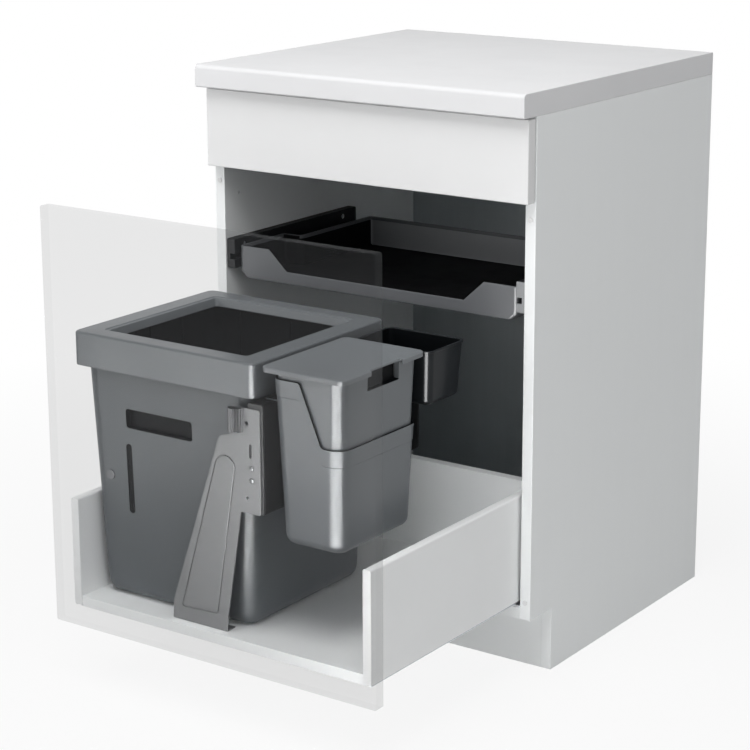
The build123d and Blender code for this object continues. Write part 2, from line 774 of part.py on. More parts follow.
with BuildPart() as tray:
    with BuildSketch(Plane.XY.offset(tray_low)):
        with BuildLine():
            Polyline(*tray_outline(0), close=True)
        make_face()
    extrude(amount=tray_high - tray_low)
    # the lower edges of the wide ends slope in
    chamfer(
        tray.faces().sort_by(Axis.Z)[0].edges().filter_by(Axis.Y).sort_by(Axis.X)[0], tray_base_chamfer
    )
    chamfer(
        tray.faces().sort_by(Axis.Z)[0].edges().filter_by(Axis.Y).sort_by(Axis.X)[-1], tray_base_chamfer
    )
    fillet(tray.edges().filter_by(Axis.Z), tray_corner)
    well_low = tray_low + tray_floor
    for start, tuck in ((well_low, tray_base_chamfer), (tray_low + tray_base_chamfer, 0.0)):
        with BuildSketch(Plane.XY.offset(start)) as inner:
            with BuildLine():
                Polyline(*tray_outline(tray_wall, tuck), close=True)
            make_face()
            fillet(inner.vertices(), tray_corner - tray_wall)
        extrude(amount=tray_high - tray_low, mode=Mode.SUBTRACT)
    # the front wall dips to a low lip between its raised ends
    with BuildSketch(Plane((0, face_y + tray_front + 12, 0), x_dir=(1, 0, 0), z_dir=(0, -1, 0))):
        with BuildLine():
            Polyline(
                (centre - 203, tray_high + 1),
                (centre - 168, tray_lip),
                (centre + 168, tray_lip),
                (centre + 203, tray_high + 1),
                close=True,
            )
        make_face()
    extrude(amount=20, mode=Mode.SUBTRACT)
save(tray, "tray")

runner_z = (582.0, 630.0)
groove_z = (596.7, 605.8)
tongue_z = (597.0, 605.5)
web_z = (599.5, 602.5)
tongue_reach = 10.0
runner_face = tray_wide + 2
glide_end = tray_end - 13
for side, name in SIDES:
    with BuildPart() as tray_glide:
        tongue_x = off_centre(side, tray_wide, tray_wide + tongue_reach)
        web_x = off_centre(side, tray_narrow, tray_wide)
        block(tongue_x, behind(tray_front + 10, glide_end), tongue_z)
        block(web_x, behind(tray_step + tray_corner + 1, glide_end), web_z)
    save(tray_glide, f"tray_glide_{name}")

    with BuildPart() as tray_runner:
        block(off_centre(side, runner_face, half_inside), behind(carcass_front + 3, 360), runner_z)
        slot_x = off_centre(side, runner_face, runner_face + tongue_reach)
        block(slot_x, behind(carcass_front + 3, 352), groove_z, Mode.SUBTRACT)
        for row in tray_screw_rows:
            bore = off_centre(side, runner_face, half_inside)
            cup = off_centre(side, runner_face, runner_face + 3)
            rod(bore, face_y + row, tray_screw_z, pilot_radius, "X", Mode.SUBTRACT)
            rod(cup, face_y + row, tray_screw_z, 4.0, "X", Mode.SUBTRACT)
    save(tray_runner, f"tray_runner_{name}")

with BuildPart() as tray_runner_screws:
    for side, name in SIDES:
        for row in tray_screw_rows:
            face = centre + side * (runner_face + 3)
            screw(face, face_y + row, tray_screw_z, "X", -side, head=3.6, cap=2.0, length=20.0)
save(tray_runner_screws, "tray_runner_screws")
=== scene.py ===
import json
import math

import bmesh
import bpy
from mathutils import Matrix, Vector

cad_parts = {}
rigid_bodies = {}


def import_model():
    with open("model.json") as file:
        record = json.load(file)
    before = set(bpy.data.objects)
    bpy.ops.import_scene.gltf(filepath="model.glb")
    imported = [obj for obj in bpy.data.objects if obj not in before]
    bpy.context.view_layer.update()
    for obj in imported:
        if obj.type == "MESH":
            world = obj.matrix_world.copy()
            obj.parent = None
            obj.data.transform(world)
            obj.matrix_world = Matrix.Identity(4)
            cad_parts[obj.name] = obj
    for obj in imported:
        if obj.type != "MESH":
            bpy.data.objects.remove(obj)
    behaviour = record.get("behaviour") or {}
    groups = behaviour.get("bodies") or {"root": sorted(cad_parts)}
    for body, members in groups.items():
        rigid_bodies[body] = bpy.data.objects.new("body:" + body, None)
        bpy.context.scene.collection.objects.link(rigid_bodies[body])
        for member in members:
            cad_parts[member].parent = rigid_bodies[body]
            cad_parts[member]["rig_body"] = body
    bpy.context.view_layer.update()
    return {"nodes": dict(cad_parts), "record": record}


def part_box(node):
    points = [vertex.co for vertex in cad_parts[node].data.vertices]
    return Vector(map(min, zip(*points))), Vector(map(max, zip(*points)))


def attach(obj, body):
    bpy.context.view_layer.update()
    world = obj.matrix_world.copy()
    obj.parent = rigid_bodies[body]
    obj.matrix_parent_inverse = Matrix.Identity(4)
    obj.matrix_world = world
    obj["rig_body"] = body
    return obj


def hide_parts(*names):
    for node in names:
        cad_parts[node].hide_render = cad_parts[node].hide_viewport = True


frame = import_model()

MM = 0.001
carcass_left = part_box("side_panel_left")[0].x
fixed_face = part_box("fixed_front")[0].y


def at(x, y, z):
    """A point in the model's frame, in metres."""
    return Vector((carcass_left + x * MM, fixed_face + y * MM, z * MM))


def extent(node):
    """A solid's x, y and z ranges, as distances from the carcass."""
    low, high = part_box(node)
    zero = at(0, 0, 0)
    return [((low[i] - zero[i]) / MM, (high[i] - zero[i]) / MM) for i in range(3)]


def inset(span, amount):
    """A range drawn in at both ends; a negative amount widens it."""
    return span[0] + amount, span[1] - amount


def middle(span):
    return (span[0] + span[1]) / 2


def between(low, high, share):
    return low + (high - low) * share


def spread(low, high, share):
    """A range between two ranges."""
    return between(low[0], high[0], share), between(low[1], high[1], share)


def tone(levels):
    """Linear colour of an 8 bit one."""
    return tuple(((level / 255 + 0.055) / 1.055) ** 2.4 for level in levels)


centre_x = 300.0
spare = 9.0  # how far a cutting tool stands out of the piece that it cuts


# ---------------------------------------------------------------- nodes
def feed(tree, value, target):
    """Links a socket to an input, or sets the input to a plain value."""
    if isinstance(value, bpy.types.NodeSocket):
        tree.links.new(value, target)
    else:
        target.default_value = value


def wired(tree, kind, **inputs):
    """A node whose inputs are linked or set; their names use _ for spaces."""
    node = tree.nodes.new(kind)
    for label, value in inputs.items():
        feed(tree, value, node.inputs[label.replace("_", " ")])
    return node


def combined(tree, first, second, operation):
    """The result of an operation on two numbers or sockets."""
    node = tree.nodes.new("ShaderNodeMath")
    node.operation = operation
    for value, target in zip((first, second), node.inputs):
        feed(tree, value, target)
    return node.outputs[0]


def vector_math(tree, operation, vector):
    node = tree.nodes.new("ShaderNodeVectorMath")
    node.operation = operation
    tree.links.new(vector, node.inputs[0])
    return node


def noise(tree, coordinates, scale, detail, roughness=0.55):
    node = wired(
        tree, "ShaderNodeTexNoise", Vector=coordinates, Scale=scale, Detail=detail, Roughness=roughness
    )
    return node.outputs["Fac"]


def remap(tree, value, low, high, to_low=0.0, to_high=1.0):
    """A value moved from one range to another."""
    node = wired(
        tree, "ShaderNodeMapRange", Value=value,
        From_Min=low, From_Max=high, To_Min=to_low, To_Max=to_high,
    )
    return node.outputs["Result"]


def socket(tree, name, kind, default=None, out=False):
    """Adds an input or an output to a node group."""
    direction = "OUTPUT" if out else "INPUT"
    made = tree.interface.new_socket(name=name, in_out=direction, socket_type=kind)
    if default is not None:
        made.default_value = default


# ---------------------------------------------------------------- finishes
def pattern_group(name, scales):
    """A group with scale inputs and a pattern's three outputs.

    Returns the tree, its scale sockets, its output sockets and the object's coordinates.
    """
    tree = bpy.data.node_groups.new(name, "ShaderNodeTree")
    for label, default in scales.items():
        socket(tree, label, "NodeSocketFloat", default)
    for label in ("Height", "Tone", "Marks"):
        socket(tree, label, "NodeSocketFloat", out=True)
    start = tree.nodes.new("NodeGroupInput")
    end = tree.nodes.new("NodeGroupOutput")
    spot = tree.nodes.new("ShaderNodeTexCoord").outputs["Object"]
    return tree, start.outputs, end.inputs, spot


def moulding_group():
    """Spark-eroded grain of a moulded or coated face, with a slow tone and handling marks."""
    scales = {"Grain Scale": 1500.0, "Tone Scale": 6.0, "Mark Scale": 14.0}
    tree, scale, result, spot = pattern_group("moulded_grain", scales)
    fine = noise(tree, spot, scale["Grain Scale"], 2.0)
    cells = wired(tree, "ShaderNodeTexVoronoi", Vector=spot, Scale=scale["Grain Scale"])
    slow = noise(tree, spot, scale["Tone Scale"], 3.0)
    marks = noise(tree, spot, scale["Mark Scale"], 6.0, 0.7)
    feed(tree, combined(tree, fine, cells.outputs["Distance"], "ADD"), result["Height"])
    feed(tree, remap(tree, slow, 0.3, 0.7), result["Tone"])
    feed(tree, remap(tree, marks, 0.45, 0.75), result["Marks"])
    return tree


def board_group():
    """Paper-faced board: pressed pearl texture, faint fibres along the grain and a slow tone."""
    scales = {"Pearl Scale": 900.0, "Fibre Scale": 60.0, "Tone Scale": 3.0}
    tree, scale, result, spot = pattern_group("faced_board", scales)
    along = wired(tree, "ShaderNodeMapping", Vector=spot, Scale=(1.0, 1.0, 0.06))
    fibre = noise(tree, along.outputs["Vector"], scale["Fibre Scale"], 4.0)
    slow = noise(tree, spot, scale["Tone Scale"], 2.0)
    tones = combined(tree, remap(tree, fibre, 0.35, 0.65, 0.0, 0.4), slow, "ADD")
    feed(tree, noise(tree, spot, scale["Pearl Scale"], 1.0), result["Height"])
    feed(tree, remap(tree, tones, 0.4, 1.0), result["Tone"])
    feed(tree, remap(tree, fibre, 0.3, 0.7), result["Marks"])
    return tree


def metal_group():
    """Zinc spangle with drawn lines along the sheet's length."""
    scales = {"Spangle Scale": 260.0, "Line Scale": 500.0, "Tone Scale": 9.0}
    tree, scale, result, spot = pattern_group("drawn_zinc", scales)
    along = wired(tree, "ShaderNodeMapping", Vector=spot, Scale=(1.0, 0.03, 1.0))
    cells = wired(tree, "ShaderNodeTexVoronoi", Vector=spot, Scale=scale["Spangle Scale"])
    split = wired(tree, "ShaderNodeSeparateColor", Color=cells.outputs["Color"])
    lines = noise(tree, along.outputs["Vector"], scale["Line Scale"], 3.0)
    slow = noise(tree, spot, scale["Tone Scale"], 3.0)
    mixed = combined(tree, split.outputs["Red"], slow, "ADD")
    feed(tree, lines, result["Height"])
    feed(tree, remap(tree, mixed, 0.4, 1.5), result["Tone"])
    feed(tree, remap(tree, lines, 0.3, 0.7), result["Marks"])
    return tree


GROUPS = {"moulded": moulding_group(), "board": board_group(), "metal": metal_group()}


FINISHES = {}


def surface(name, kind, dark, light, rough, relief=0.04, scales=None, **plain):
    """A finish: colours mixed by the group's tone, roughness by its marks, relief by its height.

    dark and light are 8 bit colours, rough is a low and high roughness, scales sets inputs of the
    group and plain sets the shader's own sockets.
    """
    relief_depth = 0.1
    material = bpy.data.materials.new(name)
    material.use_nodes = True
    tree = material.node_tree
    shader = tree.nodes["Principled BSDF"]
    pattern = tree.nodes.new("ShaderNodeGroup")
    pattern.node_tree = GROUPS[kind]
    for label, value in (scales or {}).items():
        pattern.inputs[label].default_value = value
    height, tones, marks = (pattern.outputs[label] for label in ("Height", "Tone", "Marks"))
    mix = tree.nodes.new("ShaderNodeMix")
    mix.data_type = "RGBA"
    mix.inputs["A"].default_value = (*tone(dark), 1.0)
    mix.inputs["B"].default_value = (*tone(light), 1.0)
    tree.links.new(tones, mix.inputs["Factor"])
    bump = wired(tree, "ShaderNodeBump", Strength=relief, Distance=relief_depth * MM, Height=height)
    tree.links.new(mix.outputs["Result"], shader.inputs["Base Color"])
    tree.links.new(remap(tree, marks, 0.0, 1.0, *rough), shader.inputs["Roughness"])
    tree.links.new(bump.outputs["Normal"], shader.inputs["Normal"])
    for label, value in plain.items():
        shader.inputs[label.replace("_", " ")].default_value = value
    FINISHES[name] = material
    return material


white_board = surface("white_board", "board", (236, 238, 238), (237, 239, 239), (0.45, 0.48), 0.04)
# A grey board, made darker than the other boards as painted shade inside the cabinet.
back_board = surface("back_board", "board", (160, 167, 170), (166, 173, 176), (0.5, 0.6), 0.1)
worktop_laminate = surface(
    "worktop_laminate", "moulded", (217, 217, 218), (221, 221, 222), (0.42, 0.52), 0.1,
    scales={"Grain Scale": 700.0, "Tone Scale": 4.0}, Specular_IOR_Level=0.4,
)
front_foil = surface(
    "front_foil", "moulded", (224, 224, 224), (227, 227, 227), (0.36, 0.44), 0.06,
    Specular_IOR_Level=0.35,
)
clear_face = surface(
    "clear_face", "moulded", (56, 57, 59), (61, 62, 64), (0.25, 0.35), 0.03,
    Alpha=0.11, Specular_IOR_Level=0.08,
)
clear_edge = surface(
    "clear_edge", "moulded", (84, 87, 89), (92, 95, 97), (0.3, 0.4), 0.05, Alpha=0.14
)
drawer_lacquer = surface(
    "drawer_lacquer", "moulded", (240, 241, 241), (243, 244, 244), (0.4, 0.5), 0.12,
    scales={"Grain Scale": 500.0}, Specular_IOR_Level=0.2,
)
runner_steel = surface(
    "runner_steel", "metal", (170, 172, 176), (196, 198, 202), (0.28, 0.42), 0.2, Metallic=1.0
)
screw_zinc = surface(
    "screw_zinc", "metal", (70, 71, 72), (96, 97, 98), (0.35, 0.5), 0.2, Metallic=0.5
)
bracket_zinc = surface(
    "bracket_zinc", "metal", (93, 94, 95), (104, 105, 106), (0.42, 0.54), 0.12,
    scales={"Spangle Scale": 900.0}, Metallic=0.15, Specular_IOR_Level=0.3,
)
beam_metal = surface(
    "beam_metal", "metal", (12, 13, 14), (16, 17, 18), (0.5, 0.6), 0.05, Specular_IOR_Level=0.1
)


def bin_finish(name, dark, light, coat, coat_rough, rough=(0.34, 0.42), gloss=0.06):
    """A coated plastic; its greys differ piece by piece as painted light and shade, on what may be one
    real plastic.
    """
    return surface(
        name, "moulded", dark, light, rough, 0.1, {"Grain Scale": 1600.0},
        Specular_IOR_Level=gloss, Coat_Weight=coat, Coat_Roughness=coat_rough,
    )


bin_plastic = bin_finish("bin_plastic", (94, 98, 101), (99, 103, 106), 0.17, 0.22)
# Painted light: holder, organics bin, bag frame and lid are lighter greys; painted shade: the utility box
# is darker.
bins_painted_lighter = bin_finish("bins_painted_lighter", (105, 109, 112), (110, 114, 117), 0.34, 0.24)
lid_painted_lighter = bin_finish("lid_painted_lighter", (115, 119, 122), (120, 124, 127), 0.26, 0.22)
box_painted_shade = bin_finish("box_painted_shade", (28, 31, 34), (32, 35, 38), 0.2, 0.12, (0.36, 0.44), 0.05)
# The near-black insides are painted shade, and the lighter tray rear wall and right runner end are
# painted light; the real plastics may be plain.
bin_painted_shade = surface(
    "bin_painted_shade", "moulded", (8, 10, 12), (11, 13, 15), (0.4, 0.5), 0.04,
    scales={"Grain Scale": 1600.0}, Specular_IOR_Level=0.04,
)
tray_plastic = surface(
    "tray_plastic", "moulded", (91, 93, 96), (96, 98, 101), (0.42, 0.5), 0.2,
    scales={"Grain Scale": 1300.0}, Specular_IOR_Level=0.35,
)
tray_painted_light = surface(
    "tray_painted_light", "moulded", (136, 138, 141), (142, 144, 147), (0.42, 0.5), 0.2,
    scales={"Grain Scale": 1300.0},
)
tray_painted_shade = surface(
    "tray_painted_shade", "moulded", (6, 6, 8), (9, 9, 11), (0.6, 0.7), 0.1,
    scales={"Grain Scale": 1300.0}, Specular_IOR_Level=0.1,
)
runner_plastic = surface(
    "runner_plastic", "moulded", (24, 25, 27), (30, 31, 33), (0.5, 0.6), 0.15, Specular_IOR_Level=0.2
)
runner_end_painted_light = surface(
    "runner_end_painted_light", "moulded", (126, 128, 130), (134, 136, 138), (0.4, 0.5), 0.15
)
trim_plastic = surface(
    "trim_plastic", "moulded", (24, 25, 26), (30, 31, 32), (0.45, 0.55), 0.2, Specular_IOR_Level=0.2
)
buffer_rubber = surface(
    "buffer_rubber", "moulded", (46, 47, 49), (54, 55, 57), (0.5, 0.62), 0.3,
    scales={"Grain Scale": 2200.0}, Specular_IOR_Level=0.2,
)
surface("clear_bumper", "moulded", (220, 220, 220), (228, 228, 228), (0.3, 0.4), 0.05)

SLOT_FINISH = dict(
    FINISHES, front_board=front_foil, see_through_front=clear_face, bracket_paint=bracket_zinc
)
NODE_SLOT = {part["node"]: part["material_slot"] for part in frame["record"]["subparts"]}
for node, cad_piece in frame["nodes"].items():
    cad_piece.data.materials.clear()
    cad_piece.data.materials.append(SLOT_FINISH[NODE_SLOT[node]])


# ---------------------------------------------------------------- shaping
def rounded(corners, steps=4):
    """Outline points where each corner (x, y, radius) becomes an arc; radius 0 keeps the point."""
    outline = []
    for i, (x, y, radius) in enumerate(corners):
        here = Vector((x, y))
        if radius <= 0:
            outline.append(here)
            continue
        to_last = (Vector(corners[i - 1][:2]) - here).normalized()
        to_next = (Vector(corners[(i + 1) % len(corners)][:2]) - here).normalized()
        half = to_last.angle(to_next) / 2
        centre = here + (to_last + to_next).normalized() * (radius / math.sin(half))
        first = here + to_last * (radius / math.tan(half)) - centre
        last = here + to_next * (radius / math.tan(half)) - centre
        start = math.atan2(first.y, first.x)
        sweep = (math.atan2(last.y, last.x) - start + math.pi) % math.tau - math.pi
        for k in range(steps + 1):
            angle = start + sweep * k / steps
            outline.append(centre + Vector((math.cos(angle), math.sin(angle))) * radius)
    return outline


def rectangle(x, y, radius, steps=4):
    corners = ((x[0], y[0]), (x[1], y[0]), (x[1], y[1]), (x[0], y[1]))
    return rounded([(*corner, radius) for corner in corners], steps)


def circle(x, y, radius, count=24):
    turns = [k * math.tau / count for k in range(count)]
    return [Vector((x + radius * math.cos(turn), y + radius * math.sin(turn))) for turn in turns]


def shrunk(outline, amount):
    """The outline moved inwards; its points run anticlockwise."""
    moved = []
    for i, here in enumerate(outline):
        before = (here - outline[i - 1]).normalized()
        after = (outline[(i + 1) % len(outline)] - here).normalized()
        first, second = Vector((-before.y, before.x)), Vector((-after.y, after.x))
        moved.append(here + (first + second) * (amount / (1 + first.dot(second))))
    return moved


def skin(rings, closed=False):
    """Points and faces over rings of equal count; open ends are capped."""
    count = len(rings[0])
    faces = []
    for r in range(len(rings) if closed else len(rings) - 1):
        low, high = r * count, ((r + 1) % len(rings)) * count
        for i in range(count):
            j = (i + 1) % count
            faces.append((low + i, low + j, high + j, high + i))
    if not closed:
        faces.append(tuple(reversed(range(count))))
        faces.append(tuple(range(count * (len(rings) - 1), count * len(rings))))
    return [point for ring in rings for point in ring], faces


def linked(name, data):
    """An object with its data, in the scene."""
    made = bpy.data.objects.new(name, data)
    bpy.context.scene.collection.objects.link(made)
    return made


def solid(name, points, faces, material):
    """A mesh object with its faces turned outwards."""
    mesh = bpy.data.meshes.new(name)
    mesh.from_pydata(points, [], faces)
    shape = bmesh.new()
    shape.from_mesh(mesh)
    bmesh.ops.remove_doubles(shape, verts=shape.verts, dist=0.002 * MM)
    bmesh.ops.recalc_face_normals(shape, faces=shape.faces)
    bmesh.ops.triangulate(shape, faces=[face for face in shape.faces if len(face.verts) > 4])
    shape.to_mesh(mesh)
    shape.free()
    mesh.materials.append(material)
    return linked(name, mesh)


PLACE = {
    "x": lambda u, v, w: (w, u, v),
    "y": lambda u, v, w: (u, w, v),
    "z": lambda u, v, w: (u, v, w),
}


def prism(name, outline, axis, span, material, ease=0.8, steps=3, warp=None):
    """A bar of one outline along an axis, with eased ends; warp moves its points."""
    turns = [math.radians(90 * k / steps) for k in range(steps + 1)] if ease else [math.pi / 2]
    curve = [(ease * (1 - math.cos(turn)), ease * (1 - math.sin(turn))) for turn in turns]
    stations = [(span[0] + way, amount) for way, amount in curve]
    stations += [(span[1] - way, amount) for way, amount in reversed(curve)]
    rings = []
    for along, amount in stations:
        ring = [PLACE[axis](p.x, p.y, along) for p in shrunk(outline, amount)]
        rings.append([at(*(warp(*spot) if warp else spot)) for spot in ring])
    return solid(name, *skin(rings), material)


def box_solid(name, x, y, z, material, ease=0.8):
    least_radius = 0.05
    return prism(name, rectangle(x, y, max(ease, least_radius), 3), "z", z, material, ease)


def applied(piece):
    """Turns a piece's modifiers into its mesh."""
    state = bpy.context.evaluated_depsgraph_get()
    mesh = bpy.data.meshes.new_from_object(piece.evaluated_get(state))
    piece.modifiers.clear()
    piece.data = mesh
    return piece


def carved(piece, tool, operation="DIFFERENCE"):
    """Cuts a tool out of a piece, or welds it on, and removes the tool."""
    change = piece.modifiers.new("carve", "BOOLEAN")
    change.operation = operation
    change.object = tool
    change.solver = "MANIFOLD"
    applied(piece)
    bpy.data.objects.remove(tool)


def eased(piece, width, angle=50, segments=2):
    """Rounds the sharp edges of a carved piece."""
    change = piece.modifiers.new("ease", "BEVEL")
    change.width = width * MM
    change.segments = segments
    change.limit_method = "ANGLE"
    change.angle_limit = math.radians(angle)
    return applied(piece)


def triangulated(piece):
    """Clears most faces without area and splits those of more than four corners, for even shading."""
    shape = bmesh.new()
    shape.from_mesh(piece.data)
    bmesh.ops.dissolve_degenerate(shape, dist=0.0001 * MM, edges=shape.edges)
    wide = [face for face in shape.faces if len(face.verts) > 4]
    bmesh.ops.triangulate(shape, faces=wide)
    shape.to_mesh(piece.data)
    shape.free()


def settle(piece, node, crease=38):
    """Smooth shading; the piece joins the body of the solid that it stands for, and that solid is hidden.
    """
    triangulated(piece)
    piece.data.shade_smooth()
    piece.data.set_sharp_from_angle(angle=math.radians(crease))
    weighting = piece.modifiers.new("weighting", "WEIGHTED_NORMAL")
    weighting.keep_sharp = True
    body = frame["nodes"][node]["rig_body"]
    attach(piece, body)
    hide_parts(node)


def painted(piece, material, test):
    """Gives a second finish to the faces whose centre and normal pass a test."""
    piece.data.materials.append(material)
    index = len(piece.data.materials) - 1
    for face in piece.data.polygons:
        if test(face.center, face.normal):
            face.material_index = index


def hollow(x, y, rim):
    """A test for the faces inside a tub that spans x and y and ends at a rim."""
    axis = at(middle(x), middle(y), 0)
    below_rim, steep = 4.0, 0.7
    limit = (rim - below_rim) * MM

    def inside(centre, normal):
        inward = (centre - axis).xy.dot(normal.xy) < 0
        return centre.z < limit and (normal.z > steep or (inward and abs(normal.z) < steep))

    return inside


def within(x, y, z):
    """A test for the faces whose middle is in a box."""
    low, high = at(x[0], y[0], z[0]), at(x[1], y[1], z[1])
    return lambda centre, normal: all(low[i] < centre[i] < high[i] for i in range(3))


# ---------------------------------------------------------------- carcass
def board(node, material, ease):
    return box_solid(f"{node}_board", *extent(node), material, ease)


def carcass_boards():
    for node, ease in (("bottom_panel", 0.4), ("plinth_board", 0.6), ("top_rail_front", 0.4)):
        settle(board(node, white_board, ease), node)
    back = board("back_panel", back_board, 0.3)
    rail = board("top_rail_rear", white_board, 0.4)
    for piece in (back, rail):
        for x in wall_hole_x:
            carved(piece, drilled(x, extent("back_panel")[1], wall_hole_z, wall_hole_radius))
    settle(eased(back, 0.3), "back_panel")
    settle(eased(rail, 0.3), "top_rail_rear")
    for node, ease in (("drawer_floor", 0.4), ("drawer_back", 0.8)):
        settle(board(node, white_board, ease), node)


def drilled(x, y, z, radius):
    """A round tool along y that passes the given range well on both sides."""
    far = 30.0
    return prism("drill", circle(x, z, radius), "y", inset(y, -far), white_board, 0)


def side_drill(x, y, z, radius, past=2):
    """A round tool along x that passes the given range by a length."""
    return prism("drill", circle(y, z, radius), "x", inset(x, -past), white_board, 0)


wall_hole_x = (100.0, 500.0)
wall_hole_z = 828.0
wall_hole_radius = 3.0
neighbour_hole_y = 58.0
neighbour_hole_z = (200.0, 700.0)
neighbour_hole_radius = 2.5
toe_y = extent("plinth_board")[1][0]
toe_top = extent("bottom_panel")[2][0]


def side_panels():
    for name in ("left", "right"):
        node = f"side_panel_{name}"
        x, y, z = extent(node)
        corner = 0.8
        outline = rounded([
            (y[0], toe_top, corner), (toe_y, toe_top, 0), (toe_y, z[0], corner),
            (y[1], z[0], corner), (y[1], z[1], corner), (y[0], z[1], corner),
        ], 3)
        panel = prism(f"{node}_board", outline, "x", x, white_board, 0.8)
        carved(panel, box_solid("groove", *extent("back_panel"), white_board, 0))
        if name == "left":
            for row in neighbour_hole_z:
                carved(panel, side_drill(x, neighbour_hole_y, row, neighbour_hole_radius))
        settle(panel, node)


def worktop_slab():
    x, y, z = extent("worktop")
    nose, under, corner = 7.0, 3.0, 1.2
    outline = rounded([
        (y[0], z[0], under), (y[1], z[0], corner), (y[1], z[1], corner), (y[0], z[1], nose),
    ], 6)
    settle(prism("worktop_slab", outline, "x", x, worktop_laminate, 1.2), "worktop")


def fixed_front_board():
    settle(box_solid("fixed_front_foil", *extent("fixed_front"), front_foil, 1.6), "fixed_front")


# ---------------------------------------------------------------- drawer
def see_through_front():
    x, y, z = extent("pullout_front")
    panel = prism("pullout_front_panel", rectangle(x, z, 3.0, 4), "y", y, clear_face, 1.8)
    painted(panel, clear_edge, lambda c, n: abs(n.y) < 0.5)
    settle(panel, "pullout_front")


def drawer_walls():
    leaf, top_leaf = 1.2, 2.6
    tab_low, tab_gap = 162, 12
    for name, facing in (("left", 1), ("right", -1)):
        node = f"drawer_wall_{name}"
        x, y, z = extent(node)
        outline = rounded([
            (x[0], z[0], 0.5), (x[0] + leaf, z[0], 0.5), (x[0] + leaf, z[1] - top_leaf, 1.0),
            (x[1] - leaf, z[1] - top_leaf, 1.0), (x[1] - leaf, z[0], 0.5), (x[1], z[0], 0.5),
            (x[1], z[1], 3.0), (x[0], z[1], 3.0),
        ], 4)
        settle(prism(f"{node}_shell", outline, "y", y, drawer_lacquer, 0.3, 2), node)
        fixing = f"front_fixing_{name}"
        x, y, z = extent(fixing)
        plate_y = (y[0] + 0.15, y[0] + 1.5)
        plate = prism(f"{fixing}_cap", rectangle(x, z, 2.5, 4), "y", plate_y, drawer_lacquer, 0.4)
        tab_x = (x[1] - 2.7, x[1] - 1.2) if facing > 0 else (x[0] + 1.2, x[0] + 2.7)
        tab = box_solid("tab", tab_x, (y[0] + 1, y[1]), (tab_low, z[1] - tab_gap), drawer_lacquer, 0.2)
        carved(plate, tab, "UNION")
        settle(plate, fixing)


# ---------------------------------------------------------------- tubs
def tub(name, base, top, z, corner, profile, material, columns=(), drop=None, steps=6):
    """A moulded shell between two rectangles (x, y); each profile point (depth, height, radius)
    is a ring set inwards by its depth. drop(x, y) lowers the points above half height."""
    split = middle(z)

    def outline_at(height, depth):
        share = (height - z[0]) / (z[1] - z[0])
        x = inset(spread(base[0], top[0], share), depth)
        y = inset(spread(base[1], top[1], share), depth)
        radius = max(corner - depth, 0.6)
        front = [(c, y[0], 0) for c in columns]
        rear = [(c, y[1], 0) for c in reversed(columns)]
        spots = [(x[0], y[0], radius), *front, (x[1], y[0], radius)]
        spots += [(x[1], y[1], radius), *rear, (x[0], y[1], radius)]
        return rounded(spots, steps)

    rings = []
    for depth, height in rounded(profile, 4):
        ring = []
        for i, spot in enumerate(outline_at(height, depth)):
            lowered = height - (drop(spot.x, spot.y) if drop and height > split else 0)
            spot = outline_at(lowered, depth)[i] if lowered != height else spot
            ring.append(at(spot.x, spot.y, lowered))
        rings.append(ring)
    return solid(name, *skin(rings), material)


shell = 2.5


def rim_profile(low, rim, reach, foot, lip, band, edges, slope=0.0):
    """A tub's profile from the floor's middle, round the foot, over the rim and back inside.

    The band below the rim stands out by the lip; edges rounds its four corners.
    """
    under, outer, top, inner = edges
    return [
        (reach, low, 0), (0, low, foot), (0, rim - band, under), (-lip, rim - band + slope, outer),
        (-lip, rim, top), (shell, rim, inner), (shell, low + shell, foot - shell), (reach, low + shell, 0),
    ]


floor_z = extent("drawer_floor")[2][1]
big_base = ((44, 336), (-324, -47))
big_top = ((30, 350), (-339, -32))
big_z = extent("large_bin")[2]
grip_x, grip_z = (111, 238), (416, 446)
grip_depth = 10.0
groove_x, groove_z = (108, 119), (281, 391)
groove_depth = 1.7
boss = (74, 336)
boss_radius, boss_height = 8.0, 1.8


def big_wall(height):
    """Y of the large bin's front wall at a height."""
    return between(big_base[1][0], big_top[1][0], (height - big_z[0]) / (big_z[1] - big_z[0]))


def on_big_wall(x, y, z):
    """Leans a shape drawn upright at y = 0 against the large bin's front wall."""
    return x, y + big_wall(z), z


def recessed(x, z, depth):
    """A test for the faces that lie at some depth in the large bin's leaning front wall."""
    def test(centre, normal):
        place = (centre - at(0, 0, 0)) / MM
        inner = place.y - big_wall(place.z)
        return x[0] < place.x < x[1] and z[0] < place.z < z[1] and depth[0] < inner < depth[1]

    return test


